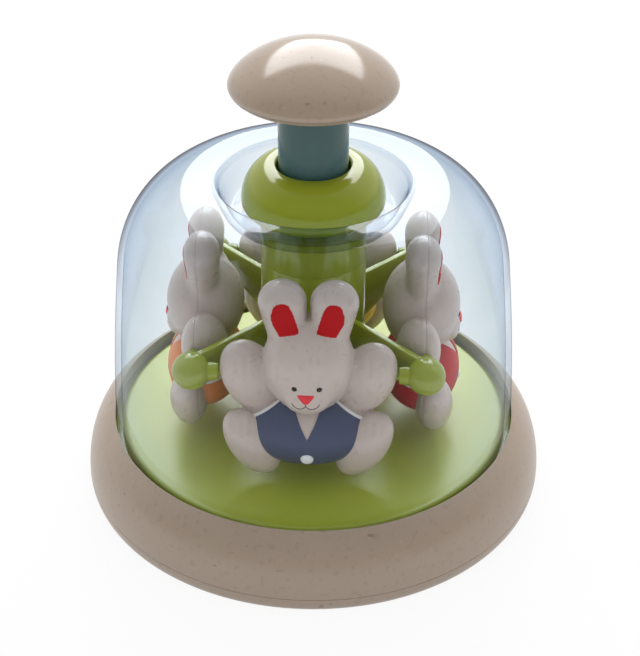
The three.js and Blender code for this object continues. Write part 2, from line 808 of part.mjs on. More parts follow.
// A tapered ear with round ends
function rabbitEar(side) {
  const [lowX, lowZ] = [side * earShares.low[0] * rabbitHalfWidth, earShares.low[1] * rabbitReach];
  const [highX, highZ] = [side * earShares.high[0] * rabbitHalfWidth, earShares.high[1] * rabbitReach];
  const [lowRadius, highRadius] = earShares.radii.map((share) => share * rabbitReach);
  const length = Math.hypot(highX - lowX, highZ - lowZ);
  const low = arc([0, 0], [lowRadius, lowRadius], -90, 0, 2);
  const high = arc([0, length], [highRadius, highRadius], 0, 90, 2);
  const outline = [[0, -lowRadius], ...low.slice(1), ...high.slice(0, -1), [0, length + highRadius]];
  const ear = revolve(outline, limbFacets);
  ear.scale(1, earShares.flat, 1).rotateY(Math.atan2(highX - lowX, highZ - lowZ));
  return ear.translate(lowX, earShares.back * rabbitHalfDepth, lowZ);
}

function rabbitSolid() {
  const sides = [1, -1];
  const paws = sides.map((side) => rabbitLimb(pawShares, pawTilt, side));
  const legs = sides.map((side) => rabbitLimb(legShares, legTilt, side));
  const shapes = [headShares, bodyShares];
  const balls = shapes.map((shares) => rabbitEllipsoid(shares, 0, bodyFacets, bodyRings));
  const skin = join(...balls, ...sides.map(rabbitEar), ...paws, ...legs);
  const hollows = shapes.map((shares) => rabbitEllipsoid(shares, rabbitWall, smallFacets, hollowRings));
  const socketLength = hangPinGrip + 2 * fitGap;
  const socket = rod(hangPinRadius + fitGap, 0, socketLength + overrun, smallFacets).rotateY(Math.PI / 2);
  const right = socket.translate(rabbitHalfWidth - socketLength, 0, 0);
  return cut(skin, ...hollows, right, right.clone().rotateZ(Math.PI));
}

function rabbitShell(i, whole, side) {
  const size = 4 * rabbitReach;
  const front = side === 'front';
  const keep = block(size, size, size).translate(0, (front ? -1 : 1) * (size / 2 + fitGap / 2), 0);
  const shell = toGeometry(whole.intersect(toSolid(keep)));
  shell.translate(0, -hangRadius, pivotLineHeight).rotateZ(-i * Math.PI / 2);
  return piece(`rabbit_${rabbitNames[i]}_${side}_shell`, shell, 'cream');
}

function rabbits() {
  const whole = rabbitSolid();
  return quarterTurns((i) => ['front', 'back'].map((side) => rabbitShell(i, whole, side))).flat();
}

const toy = new THREE.Group();
toy.add(baseRing(), bottomCover(), ...quarterTurns(baseScrew), floorDisc(), pivotPin(), thrustWasher());
toy.add(clearDome(), hubCap(), guideSleeve());
toy.add(knobCap(), knobUnder(), knobScrew(), plungerTube(), driveNut());
toy.add(driveRod(), ratchetWheel(), returnSpring());
toy.add(carouselColumn(), ...quarterTurns(carouselArm), pawlRing(), pivotClip(), ...rabbits());

export default toy;
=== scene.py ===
"""Looks of the carousel spinner toy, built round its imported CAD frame.

Sizes are in millimetres until a mesh is made.
"""

import math

import bmesh
import bpy
import numpy as np
from mathutils import Matrix, Vector
from mathutils.geometry import delaunay_2d_cdt
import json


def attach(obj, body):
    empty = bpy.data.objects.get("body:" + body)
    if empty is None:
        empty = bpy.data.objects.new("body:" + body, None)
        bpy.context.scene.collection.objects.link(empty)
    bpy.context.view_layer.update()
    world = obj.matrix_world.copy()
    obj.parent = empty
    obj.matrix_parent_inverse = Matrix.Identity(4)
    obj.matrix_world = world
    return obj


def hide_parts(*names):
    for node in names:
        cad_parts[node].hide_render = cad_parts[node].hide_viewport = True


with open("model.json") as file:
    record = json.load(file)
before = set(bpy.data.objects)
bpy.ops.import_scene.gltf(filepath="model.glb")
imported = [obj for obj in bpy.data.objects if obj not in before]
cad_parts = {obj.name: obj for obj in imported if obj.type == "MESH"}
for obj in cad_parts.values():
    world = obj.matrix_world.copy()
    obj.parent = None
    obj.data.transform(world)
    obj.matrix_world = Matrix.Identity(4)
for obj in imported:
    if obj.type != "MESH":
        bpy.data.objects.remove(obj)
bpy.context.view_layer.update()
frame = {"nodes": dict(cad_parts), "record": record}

MM = 0.001
GAP = 0.3  # between pieces that seat on each other
SEAM_GAP = 0.12  # the line between the base's ring and its cover
QUARTER = math.pi / 2
RABBITS = ("blue", "orange", "yellow", "red")  # clockwise from the front, seen from above

# Heights
FLOOR = 27.4
FLANGE_TOP = 22.0
FLANGE_BOTTOM = 19.3
DOME_FOOT = 22.3
BEAD_TOP = 25.6
CROWN = 29.8
BASE_WIDEST = 5.2
COVER_SEAM = 6.3
COVER_THICKNESS = 3.0
POST_TOP = 24.6  # the post in the cover, which holds the pivot pin
PIN_FOOT = 9.1
RIDGE = 131.69
WELL_FLOOR = 120.49
COLLAR_TOP = 117.79
COLUMN_BOTTOM = 28.8
COLUMN_TOP = 100.29
STOP = 92.29  # where the stem's flange ends its way up in the sleeve
SLEEVE_BOTTOM = 65.99
STOP_FLANGE_TOP = 91.99
STOP_FLANGE_BOTTOM = 87.99
COLLAR_LINE = 0.08  # between the column's top and the sleeve's collar
SPIGOT_BOTTOM = 113.29
HUB_BOTTOM = 120.79
HUB_WIDEST = 123.99
HUB_HOLLOW_TOP = 130.49
HUB_TOP = 138.59
KNOB_BOTTOM = 163.59
KNOB_WIDEST = 170.49
PIVOT_LINE = 73.8

# Radii, widths and walls
DOME_FOOT_RADIUS = 80.3
DOME_WALL = 2.4
DOME_LEAN = 5.43
DOME_BULGE = 0.7
DOME_WALL_HEIGHT = 70.3
SHOULDER_WIDTH = 30.9
SHOULDER_RISE = 36.7
SHOULDER_START = 8.0  # degrees
RIDGE_RADIUS = 44.27
WELL_RADIUS = 27.8
WELL_DROP = (0.42, 0.84)  # between these shares of the way in, the top drops to the well's floor
BEAD_RADIUS = 82.2
GROOVE_RADIUS = 82.5
CROWN_RADIUS = 80.6
BASE_RADIUS = 92.5
BASE_FOOT_RADIUS = 89.6
BASE_WALL = 2.8
LIP_SLOPE = 4.0  # how far inside the lip the base's outer side would be level
COVER_RIM_WIDTH = 5.5
POST_RADIUS = 8.0
FOOT_GROOVE = (74.0, 0.5)  # radius and depth of the groove under the cover
BOSS_RADIUS = 4.0
BOSS_BOTTOM = 3.3
FLOOR_THICKNESS = 2.5
FLOOR_EDGE = 2.2  # its rounding
RIM_RADIUS = 77.6
STEM_RADIUS = 13.05
STEM_BORE = 10.95
GUIDE_BORE = 13.4
STOP_FLANGE_RADIUS = 15.55
SLEEVE_BORE = 15.9
SLEEVE_RADIUS = 17.2
COLUMN_BORE = 18.0
COLUMN_RADIUS = 20.2
COLLAR_BORE = 19.0
SPIGOT_RADIUS = 18.7
SPIGOT_BORE = 16.5
HUB_RADIUS = 27.2
HUB_CROWN_WIDTH = 11.2
HUB_TUCK_RISE = 5.6
KNOB_RADIUS = 31.0
KNOB_RISE = 15.5
KNOB_EDGE = (6.8, 4.4)  # width and drop of the knob's lower edge
KNOB_SEAM_DROP = 1.3
KNOB_WALL = 2.4
KNOB_SCREW_BORE = 1.8
KNOB_CURVE = (1.183, 1.235)  # powers that make the crown a little flatter at its brow than an ellipse
KEY_CIRCLE = 15.55  # of the sleeve's keys and their notches in the stop flange
PIN_BORE = 2.3
BALL_CIRCLE = 61.45
BALL_RADIUS = 7.2
HANG_RADIUS = 43.45
WEB_THICKNESS = 2.6
SCREW_CIRCLE = 58.0
SCREW_BORE = 1.6


# Camera, light and stage


def add_object(name, data):
    made = bpy.data.objects.new(name, data)
    bpy.context.scene.collection.objects.link(made)
    return made


def make_camera():
    """Where the photograph was taken from.

    The toy stands turned a little, so the camera goes round by the same angle.
    """
    turn, pitch = math.radians(2.43), math.radians(33.5)
    back, height = 0.5007, 0.3966
    data = bpy.data.cameras.new("camera")
    data.sensor_width = 36.0
    data.lens = 83.1
    data.shift_x = 0.010
    camera = add_object("camera", data)
    camera.location = (back * math.sin(turn), -back * math.cos(turn), height)
    camera.rotation_euler = (QUARTER - pitch, 0, turn)
    bpy.context.scene.camera = camera


def make_lamp(name, place, size, watts):
    """A panel that faces straight down."""
    data = bpy.data.lights.new(name, "AREA")
    data.shape = "RECTANGLE"
    data.size, data.size_y = size
    data.energy = watts
    add_object(name, data).location = place


def shows_plain(tree):
    """1 for a ray from the camera, a mirror or a clear wall, and 0 for one that lights the object."""
    path = tree.nodes.new("ShaderNodeLightPath")
    seen = math_node(tree, "MAXIMUM", path.outputs["Is Camera Ray"], path.outputs["Is Glossy Ray"])
    return math_node(tree, "MAXIMUM", seen, path.outputs["Is Transmission Ray"])


def make_world(light, mirrored):
    """White as it is seen.

    light is how much it lights the toy, and mirrored how bright it looks in it, each in front and behind.
    """
    world = bpy.data.worlds.new("world")
    world.use_nodes = True
    bpy.context.scene.world = world
    tree = world.node_tree
    background = tree.nodes["Background"]
    background.inputs["Color"].default_value = (1, 1, 1, 1)
    path = tree.nodes.new("ShaderNodeLightPath")
    place = tree.nodes.new("ShaderNodeTexCoord").outputs["Generated"]
    direction = add_node(tree, "ShaderNodeSeparateXYZ", {0: place})
    fade = 0.4  # how far to either side of the middle the front passes into the back
    levels = [mix_value(tree, direction.outputs["Y"], *pair, -fade, fade) for pair in (light, mirrored)]
    strength = mix_value(tree, path.outputs["Is Glossy Ray"], *levels)
    seen = math_node(tree, "MAXIMUM", path.outputs["Is Camera Ray"], path.outputs["Is Transmission Ray"])
    tree.links.new(mix_value(tree, seen, strength, 1.0), background.inputs["Strength"])


def make_floor(own_light):
    """A white floor that looks as pale as the backdrop and keeps most of the object's shadow."""
    mesh = bpy.data.meshes.new("floor")
    side, drop = 4.0, 0.0002  # the drop keeps it off the toy's flat face
    corners = [(-side, -side, 0), (side, -side, 0), (side, side, 0), (-side, side, 0)]
    mesh.from_pydata(corners, [], [(0, 1, 2, 3)])
    floor = add_object("floor", mesh)
    floor.location.z = -drop
    mat, tree, shader = new_material("floor_white")
    feed_all(tree, shader, {"Base Color": (0.9, 0.9, 0.9, 1), "Roughness": 0.9, "Specular IOR Level": 0.1})
    share = math_node(tree, "MULTIPLY", shows_plain(tree), own_light)
    blend_shaders(tree, share, shader, tree.nodes.new("ShaderNodeEmission"))
    mesh.materials.append(mat)


# Material nodes


def srgb(red, green, blue):
    """A linear colour from the 0 to 255 values of a picture."""
    values = [c / 255 for c in (red, green, blue)]
    return tuple(c / 12.92 if c <= 0.04045 else ((c + 0.055) / 1.055) ** 2.4 for c in values) + (1.0,)


def shade(color, share):
    return tuple(min(1.0, c * share) for c in color[:3]) + (1.0,)


def new_material(name):
    mat = bpy.data.materials.new(name)
    mat.use_nodes = True
    return mat, mat.node_tree, mat.node_tree.nodes["Principled BSDF"]


def feed(tree, value, socket):
    """Links a socket, or sets a plain value."""
    if isinstance(value, bpy.types.NodeSocket):
        tree.links.new(value, socket)
    else:
        socket.default_value = value


def feed_all(tree, node, inputs):
    """Feeds a node's inputs, each by its name or number."""
    for name, value in inputs.items():
        feed(tree, value, node.inputs[name])


def add_node(tree, kind, inputs, operation=None):
    made = tree.nodes.new(kind)
    if operation:
        made.operation = operation
    feed_all(tree, made, inputs)
    return made


def math_node(tree, operation, *values):
    return add_node(tree, "ShaderNodeMath", dict(enumerate(values)), operation).outputs[0]


def mix_value(tree, factor, low, high, start=0.0, end=1.0):
    """A value that goes from low to high while the factor goes from start to end."""
    inputs = {"Value": factor, "From Min": start, "From Max": end, "To Min": low, "To Max": high}
    return add_node(tree, "ShaderNodeMapRange", inputs).outputs[0]


def mix_color(tree, factor, first, second):
    made = tree.nodes.new("ShaderNodeMix")
    made.data_type = "RGBA"
    feed_all(tree, made, {"Factor": factor, 6: first, 7: second})  # 6 and 7 are the colours
    return made.outputs[2]


def blend_shaders(tree, share, first, second):
    """Makes the material's surface from the first shader and that share of the second."""
    mix = add_node(tree, "ShaderNodeMixShader", {0: share, 1: first.outputs[0], 2: second.outputs[0]})
    tree.links.new(mix.outputs[0], tree.nodes["Material Output"].inputs["Surface"])


def coordinates(tree, scale=(1, 1, 1)):
    """The object's own coordinates in metres, stretched where scale isn't 1."""
    place = tree.nodes.new("ShaderNodeTexCoord").outputs["Object"]
    return add_node(tree, "ShaderNodeMapping", {"Vector": place, "Scale": scale}).outputs[0]


def noise(tree, size_mm, detail=2.0, stretch=(1, 1, 1)):
    """Soft noise from 0 to 1 whose features are about size_mm across."""
    inputs = {"Scale": 1000 / size_mm, "Detail": detail, "Vector": coordinates(tree, stretch)}
    return add_node(tree, "ShaderNodeTexNoise", inputs).outputs["Fac"]


def ragged(tree, place, cell_mm):
    """The place moved a little this way and that, so that what is drawn there has uneven edges."""
    wander = add_node(tree, "ShaderNodeTexNoise", {"Scale": 3000 / cell_mm, "Vector": place})
    reach = (0.3 * cell_mm * MM,) * 3
    inputs = {0: wander.outputs["Color"], 1: reach, 2: place}
    return add_node(tree, "ShaderNodeVectorMath", inputs, "MULTIPLY_ADD").outputs[0]


def specks(tree, cell_mm, share, size, stretch=(1, 1, 1)):
    """1 on small flecks, in that share of cells cell_mm wide.

    size is the greatest radius of a fleck as a share of its cell.
    """
    place = ragged(tree, coordinates(tree, stretch), cell_mm)
    cells = add_node(tree, "ShaderNodeTexVoronoi", {"Scale": 1000 / cell_mm, "Vector": place})
    channels = add_node(tree, "ShaderNodeSeparateColor", {0: cells.outputs["Color"]})
    chosen = math_node(tree, "LESS_THAN", channels.outputs[0], share)
    radius = math_node(tree, "MULTIPLY", channels.outputs[1], size)
    depth = math_node(tree, "SUBTRACT", radius, cells.outputs["Distance"])
    soft_edge = 0.55 * size
    return math_node(tree, "MULTIPLY", chosen, mix_value(tree, depth, 0.0, 1.0, 0.0, soft_edge))


def axes(tree):
    """The object's coordinates as three values: across, deep and up."""
    return add_node(tree, "ShaderNodeSeparateXYZ", {0: coordinates(tree)}).outputs


def below(tree, height_mm):
    """1 below that height, 0 above it."""
    return math_node(tree, "LESS_THAN", axes(tree)["Z"], height_mm * MM)


def color_ramp(tree, factor, stops):
    """A colour that runs through the stops, each a place from 0 to 1 and its linear colour."""
    made = tree.nodes.new("ShaderNodeValToRGB")
    for place, _ in stops[2:]:
        made.color_ramp.elements.new(place)
    for element, (place, color) in zip(made.color_ramp.elements, stops, strict=True):
        element.position, element.color = place, color
    tree.links.new(factor, made.inputs[0])
    return made.outputs[0]


def bump(tree, shader, height, strength, distance_mm):
    inputs = {"Strength": strength, "Distance": distance_mm * MM, "Height": height}
    tree.links.new(add_node(tree, "ShaderNodeBump", inputs).outputs[0], shader.inputs["Normal"])


def fibre_plastic(name, color, dark, pale, polish, flecks, base_roughness=None):
    """A moulded plastic filled with plant fibre: mottled, with short dark and pale flecks.

    polish is the least and the greatest roughness. The base may have one of its own.
    """
    mat, tree, shader = new_material(name)
    mottled = mix_color(tree, noise(tree, 9, 3), shade(color, 0.96), shade(color, 1.04))
    fine = mix_value(tree, noise(tree, 1.1, 3), -0.3, 0.6)
    mottled = mix_color(tree, fine, mottled, shade(color, 0.92))
    smudges = mix_value(tree, noise(tree, 2.4, 4), 0.0, 0.22, 0.57, 0.72)
    mottled = mix_color(tree, smudges, mottled, dark)
    for cell, share, size, strength, stretch in flecks:
        spots = math_node(tree, "MULTIPLY", specks(tree, cell, share, size, stretch), strength)
        mottled = mix_color(tree, spots, mottled, dark)
    glints = math_node(tree, "MULTIPLY", specks(tree, 1.7, 0.2, 0.2, (1, 0.5, 0.8)), 0.5)
    mottled = mix_color(tree, glints, mottled, pale)
    rough = mix_value(tree, noise(tree, 5, 3), *polish)
    if base_roughness is not None:
        rough = mix_value(tree, below(tree, CROWN + 0.5), rough, base_roughness)
    feed_all(tree, shader, {"Base Color": mottled, "Roughness": rough, "Specular IOR Level": 0.7})
    bump(tree, shader, noise(tree, 0.5, 3), 0.12, 0.06)
    return mat


def moulded_plastic(name, color, roughness, specular, floor_lit_finish=None):
    """A plain moulded plastic: faint flow marks, fine surface grain and slightly uneven gloss.

    The toy's floor may have a roughness of its own, and a brighter copy of the colour that is painted light,
    for the light that the dome keeps off it.
    """
    mat, tree, shader = new_material(name)
    flow = noise(tree, 26, 3, (1, 1, 0.4))
    tone = mix_color(tree, flow, shade(color, 0.95), shade(color, 1.05))
    tone = mix_color(tree, specks(tree, 4.5, 0.08, 0.07), tone, shade(color, 0.72))
    rough = mix_value(tree, noise(tree, 7, 3), roughness * 0.8, roughness * 1.25)
    if floor_lit_finish:
        # the floor's colour is painted light: brighter to stand in for light lost under the dome
        floor = below(tree, FLOOR + 0.5)
        floor_lit_color, floor_roughness = floor_lit_finish
        tone = mix_color(tree, floor, tone, floor_lit_color)
        rough = mix_value(tree, floor, rough, floor_roughness)
    feed_all(tree, shader, {"Base Color": tone, "Roughness": rough, "Specular IOR Level": specular})
    bump(tree, shader, noise(tree, 1.2, 2), 0.05, 0.05)
    return mat


def steel(name):
    mat, tree, shader = new_material(name)
    color = srgb(176, 178, 182)
    brushed = noise(tree, 0.5, 3, (1, 1, 0.08))
    tone = mix_color(tree, brushed, shade(color, 0.85), shade(color, 1.1))
    rough = mix_value(tree, noise(tree, 2, 2), 0.22, 0.38)
    feed_all(tree, shader, {"Base Color": tone, "Metallic": 1.0, "Roughness": rough})
    bump(tree, shader, brushed, 0.08, 0.02)
    return mat


def shoulder_shares(tree):
    """Two shares: 1 on the dome's shoulder, less down the wall, and 1 on its outer side, half in the well."""
    across, deep, up = axes(tree)
    square = math_node(tree, "MULTIPLY_ADD", across, across, math_node(tree, "MULTIPLY", deep, deep))
    radius = math_node(tree, "SQRT", square)
    out = math_node(tree, "MULTIPLY_ADD", radius, 1000 / SHOULDER_WIDTH, -RIDGE_RADIUS / SHOULDER_WIDTH)
    rise = math_node(tree, "MULTIPLY_ADD", up, 1000 / SHOULDER_RISE, (SHOULDER_RISE - RIDGE) / SHOULDER_RISE)
    # The reach is 1 on the ellipse of the shoulder's outer side
    reach = math_node(tree, "MULTIPLY_ADD", out, out, math_node(tree, "MULTIPLY", rise, rise))
    # the second share places the painted slate shade at the edge of the shoulder
    outer = mix_value(tree, reach, 0.0, 1.0, 0.92, 0.97)
    high = mix_value(tree, rise, 0.0, 1.0, -0.08, 0.72)
    well = mix_value(tree, out, 0.0, 0.5, -1 / 7, -2 / 7)
    return high, math_node(tree, "MAXIMUM", outer, well)


def grey_stops(stops):
    return [(place, (value, value, value, 1)) for place, value in stops]


def clear_plastic(name):
    """A clear, glossy shell.

    It is pale blue where it is looked through at a slant. Its edges are darkened with painted shade, down to
    slate at the edge of its shoulder.
    """
    mat, tree, shader = new_material(name)
    tree.nodes.remove(shader)
    # the wall's pale tint, with painted shade where it darkens at the edge
    wall = [
        (0.0, srgb(255, 255, 255)),
        (0.4, srgb(250, 252, 254)),
        (0.75, srgb(239, 244, 249)),
        (0.92, srgb(222, 229, 237)),
        (1.0, srgb(140, 156, 174)),
    ]
    # painted shade: the outer side of the shoulder darkens to slate at its edge
    shoulder = [
        (0.0, srgb(246, 250, 253)),
        (0.35, srgb(231, 238, 244)),
        (0.6, srgb(216, 225, 234)),
        (0.76, srgb(188, 202, 217)),
        (0.85, srgb(96, 116, 144)),
        (0.91, srgb(48, 64, 96)),
        (1.0, srgb(34, 48, 82)),
    ]
    plain = [(0.0, srgb(255, 255, 255)), (1.0, srgb(246, 249, 252))]
    gloss_shares = [(0.0, 0.004), (0.25, 0.01), (0.38, 0.035), (0.48, 0.055)]
    gloss_shares += [(0.75, 0.14), (0.88, 0.2), (0.94, 0.1), (1.0, 0.03)]
    facing = add_node(tree, "ShaderNodeLayerWeight", {"Blend": 0.5}).outputs["Facing"]
    high, outer = shoulder_shares(tree)
    tint_and_edge_shade = mix_color(tree, outer, color_ramp(tree, facing, plain), color_ramp(tree, facing, shoulder))
    tint_and_edge_shade = mix_color(tree, high, color_ramp(tree, facing, wall), tint_and_edge_shade)
    inner = math_node(tree, "MULTIPLY", high, math_node(tree, "SUBTRACT", 1.0, outer))
    share = mix_value(tree, inner, color_ramp(tree, facing, grey_stops(gloss_shares)), 0.01)
    through = add_node(tree, "ShaderNodeBsdfTransparent", {"Color": tint_and_edge_shade})
    rough = mix_value(tree, noise(tree, 18, 3), 0.015, 0.05)
    gloss = add_node(tree, "ShaderNodeBsdfGlossy", {"Color": (1, 1, 1, 1), "Roughness": rough})
    bump(tree, gloss, noise(tree, 30, 1), 0.06, 0.2)
    blend_shaders(tree, share, through, gloss)
    return mat


def make_materials():
    """Every finish by its slot's name."""
    # Flecks: cell in mm, share of the cells, size, strength and stretch
    tan_flecks = [
        (2.6, 0.14, 0.3, 0.5, (1, 0.6, 1)),
        (4.4, 0.22, 0.2, 0.6, (0.55, 1, 1)),
        (7.0, 0.3, 0.16, 0.7, (1, 1, 0.6)),
    ]
    cream_flecks = [(2.4, 0.12, 0.2, 0.4, (1, 0.7, 1)), (4.5, 0.15, 0.09, 0.6, (1, 1, 0.6))]
    # Colours: the plastic, its dark flecks and its pale flecks
    tan = [srgb(168, 149, 131), srgb(118, 98, 84), srgb(205, 192, 178)]
    cream = [srgb(202, 186, 177), srgb(142, 122, 112), srgb(222, 214, 206)]
    fibre = [
        ("natural_fibre_plastic", *tan, (0.12, 0.18), tan_flecks, 0.3),
        ("rabbit_plastic", *cream, (0.24, 0.34), cream_flecks),
    ]
    plain = [
        # the floor's brighter lime here is painted light under the dome
        ("lime_plastic", srgb(146, 157, 34), 0.13, 0.6, (srgb(170, 182, 44), 0.3)),
        ("teal_plastic", srgb(58, 92, 91), 0.16, 0.5),
        ("white_plastic", srgb(230, 230, 228), 0.4, 0.4),
        ("paint_blue", srgb(71, 79, 106), 0.42, 0.3),
        ("paint_orange", srgb(226, 132, 62), 0.42, 0.3),
        ("paint_yellow", srgb(228, 188, 70), 0.42, 0.3),
        ("paint_red", srgb(188, 10, 18), 0.45, 0.15),
        ("paint_coral", srgb(230, 48, 58), 0.35, 0.3),
        ("paint_black", srgb(24, 22, 24), 0.25, 0.3),
    ]
    made = {row[0]: fibre_plastic(*row) for row in fibre}
    made.update({row[0]: moulded_plastic(*row) for row in plain})
    made["clear_plastic"] = clear_plastic("clear_plastic")
    made["steel"] = steel("steel")
    return made


# Meshes


def make_mesh(name, points, faces, sharp=35):
    """A mesh in metres from points in millimetres."""
    mesh = bpy.data.meshes.new(name)
    mesh.from_pydata([tuple(c * MM for c in p) for p in points], [], [tuple(f) for f in faces])
    finish_mesh(mesh, sharp)
    return mesh


def finish_mesh(mesh, sharp=35):
    mesh.validate()
    mesh.shade_smooth()
    mesh.set_sharp_from_angle(angle=math.radians(sharp))


def add_piece(name, mesh, slot, body, replaced=(), matrix=None):
    """Puts a mesh in the scene with its material, riding on its body."""
    piece = add_object(name, mesh)
    if matrix is not None:
        piece.matrix_world = matrix
    mesh.materials.clear()
    mesh.materials.append(materials[slot])
    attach(piece, body)
    if replaced:
        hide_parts(*replaced)


def arc(center, halves, start, end, steps):
    """Points on an ellipse between two angles in degrees."""
    points = []
    for i in range(steps + 1):
        angle = math.radians(start + (end - start) * i / steps)
        points.append((center[0] + halves[0] * math.cos(angle), center[1] + halves[1] * math.sin(angle)))
    return points


def offset(points, distance):
    """Points moved square to the line through them, to its left."""
    moved = []
    for i, (r, z) in enumerate(points):
        r0, z0 = points[max(i - 1, 0)]
        r1, z1 = points[min(i + 1, len(points) - 1)]
        length = math.hypot(r1 - r0, z1 - z0)
        moved.append((r - distance * (z1 - z0) / length, z + distance * (r1 - r0) / length))
    return moved


def rounded(points, radius, steps=3):
    """The closed outline with its corners rounded. Places where it already bends gently stay as they are."""
    made = []
    for i, point in enumerate(points):
        here = Vector(point)
        before, after = Vector(points[i - 1]) - here, Vector(points[(i + 1) % len(points)]) - here
        if point[0] < 1e-6 or before.angle(after) > math.radians(155):
            made.append(tuple(point))
            continue
        cut = min(radius, 0.45 * before.length, 0.45 * after.length)
        start, end = here + before.normalized() * cut, here + after.normalized() * cut
        for k in range(steps + 1):
            t = k / steps
            made.append(tuple(start * (1 - t) ** 2 + here * 2 * t * (1 - t) + end * t * t))
    return made


def lathe(name, outline, count, rounding=0.0):
    """A mesh turned about Z, from a closed outline of radius and height that runs up its outer side."""
    points, rings = [], []
    for r, z in rounded(outline, rounding) if rounding else outline:
        size = 1 if r < 1e-6 else count
        rings.append([len(points) + j for j in range(size)])
        for j in range(size):
            angle = 2 * math.pi * j / count
            points.append((r * math.cos(angle), r * math.sin(angle), z))
    faces = []
    for low, high in zip(rings, rings[1:] + rings[:1], strict=True):
        if len(low) == len(high) == 1:
            continue
        for j in range(count):
            k = (j + 1) % count
            corners = [low[j % len(low)], low[k % len(low)], high[k % len(high)], high[j % len(high)]]
            faces.append(list(dict.fromkeys(corners)))
    return make_mesh(name, points, faces)


def rod(name, radius, low, high, count):
    return lathe(name, [(0, low), (radius, low), (radius, high), (0, high)], count)


def turned(node, outline, count, slot, body, rounding=0.4, word="body"):
    """A lathed piece in place of that CAD node."""
    name = f"{node}_{word}"
    add_piece(name, lathe(name, outline, count, rounding), slot, body, [node])


def mesh_of(name, shape):
    """The mesh of a bmesh, which is freed."""
    mesh = bpy.data.meshes.new(name)
    shape.to_mesh(mesh)
    shape.free()
    return mesh


def box_mesh(name, center, size, turn=0.0, rounding=0.0):
    """A box from its middle and size in millimetres, turned about Z."""
    box = bmesh.new()
    place = Matrix.Translation(Vector(center) * MM) @ Matrix.Rotation(turn, 4, "Z")
    bmesh.ops.create_cube(box, size=1, matrix=place @ Matrix.Diagonal((*[side * MM for side in size], 1)))
    if rounding:
        bmesh.ops.bevel(
            box, geom=box.edges[:], offset=rounding * MM, segments=2, profile=0.5, affect="EDGES")
    return mesh_of(name, box)


def evaluated_mesh(thing):
    """The object's mesh with its modifiers applied."""
    graph = bpy.context.evaluated_depsgraph_get()
    return bpy.data.meshes.new_from_object(thing.evaluated_get(graph))


def cut_mesh(mesh, tools):
    """The mesh with the tool meshes taken out of it."""
    target = add_object("cut_target", mesh)
    cutters = []
    for tool in tools:
        cutter = add_object("cutter", tool)
        cutters.append(cutter)
        modifier = target.modifiers.new("cut", "BOOLEAN")
        modifier.operation = "DIFFERENCE"
        modifier.solver = "MANIFOLD"
        modifier.object = cutter
    bpy.context.view_layer.update()
    made = evaluated_mesh(target)
    for thing in [target, *cutters]:
        bpy.data.objects.remove(thing)
    return made


def merge_meshes(name, meshes):
    whole = bmesh.new()
    for mesh in meshes:
        whole.from_mesh(mesh)
    made = mesh_of(name, whole)
    finish_mesh(made)
    return made


def moved_mesh(mesh, matrix):
    made = mesh.copy()
    made.transform(matrix)
    return made


def quarter_turn(i):
    return Matrix.Rotation(i * QUARTER, 4, "Z")


def screw_places():
    return [quarter_turn(i) @ Matrix.Translation((SCREW_CIRCLE * MM, 0, 0)) for i in range(4)]


# Base


def base_side(low, high, steps):
    """The base's outer side between two heights. It still slopes where it ends, at the lip round the dome."""
    center = CROWN_RADIUS - LIP_SLOPE
    width = BASE_RADIUS - center
    rise = (CROWN - BASE_WIDEST) / math.sqrt(1 - (LIP_SLOPE / width) ** 2)
    start, end = (math.degrees(math.asin((height - BASE_WIDEST) / rise)) for height in (low, high))
    return arc((center, BASE_WIDEST), (width, rise), start, end, steps)


def base_ring():
    bottom = COVER_SEAM + SEAM_GAP
    outside = base_side(bottom, CROWN, 26)
    inside = offset(outside[:13], BASE_WALL)[::-1]
    channel = GROOVE_RADIUS + 2.4  # outside of the inner wall
    outline = [
        *outside, (CROWN_RADIUS, BEAD_TOP + GAP), (GROOVE_RADIUS, BEAD_TOP + GAP),
        (GROOVE_RADIUS, bottom), (channel, bottom), (channel, inside[0][1]), *inside,
        (outside[0][0] - BASE_WALL, bottom),
    ]
    turned("base_ring", outline, 160, "natural_fibre_plastic", "base", 0.15)


def bottom_cover():
    edge = arc((BASE_FOOT_RADIUS, BASE_WIDEST), (BASE_RADIUS - BASE_FOOT_RADIUS, BASE_WIDEST), -90, 0, 12)
    edge += base_side(BASE_WIDEST, COVER_SEAM, 2)[1:]
    rim = edge[-1][0] - COVER_RIM_WIDTH
    groove, depth = FOOT_GROOVE
    outline = [
        (0, 0), (groove - 1.2, 0), (groove - 0.6, depth), (groove + 0.6, depth), (groove + 1.2, 0),
        *edge, (rim, COVER_SEAM), (rim, COVER_THICKNESS), (POST_RADIUS, COVER_THICKNESS),
        (POST_RADIUS, POST_TOP), (PIN_BORE, POST_TOP), (PIN_BORE, PIN_FOOT), (0, PIN_FOOT),
    ]
    mesh = lathe("bottom_cover_body", outline, 160, 0.15)
    shank = rod("shank_hole", SCREW_BORE, -1, 5, 24)
    head = rod("head_hole", 3.1, -1, 2.1, 32)
    mesh = cut_mesh(mesh, [moved_mesh(hole, place) for place in screw_places() for hole in (shank, head)])
    finish_mesh(mesh)
    add_piece("bottom_cover_body", mesh, "natural_fibre_plastic", "base", ["bottom_cover"])


def base_screws():
    """Four screws with a cross in the head, which faces down."""
    outline = [(0, 0.3), (2.3, 0.3), (2.8, 0.8), (2.8, 1.8), (1.3, 1.8), (1.3, 12.0), (1.0, 12.3), (0, 12.3)]
    body = lathe("screw", outline, 32, 0.2)
    cross = [box_mesh("cross", (0, 0, 0), (3.4, 0.7, 2.2), turn) for turn in (0, QUARTER)]
    body = cut_mesh(body, cross)
    for i, place in enumerate(screw_places(), 1):
        mesh = moved_mesh(body, place)
        finish_mesh(mesh)
        add_piece(f"base_screw_{i}_body", mesh, "steel", "base", [f"base_screw_{i}"])


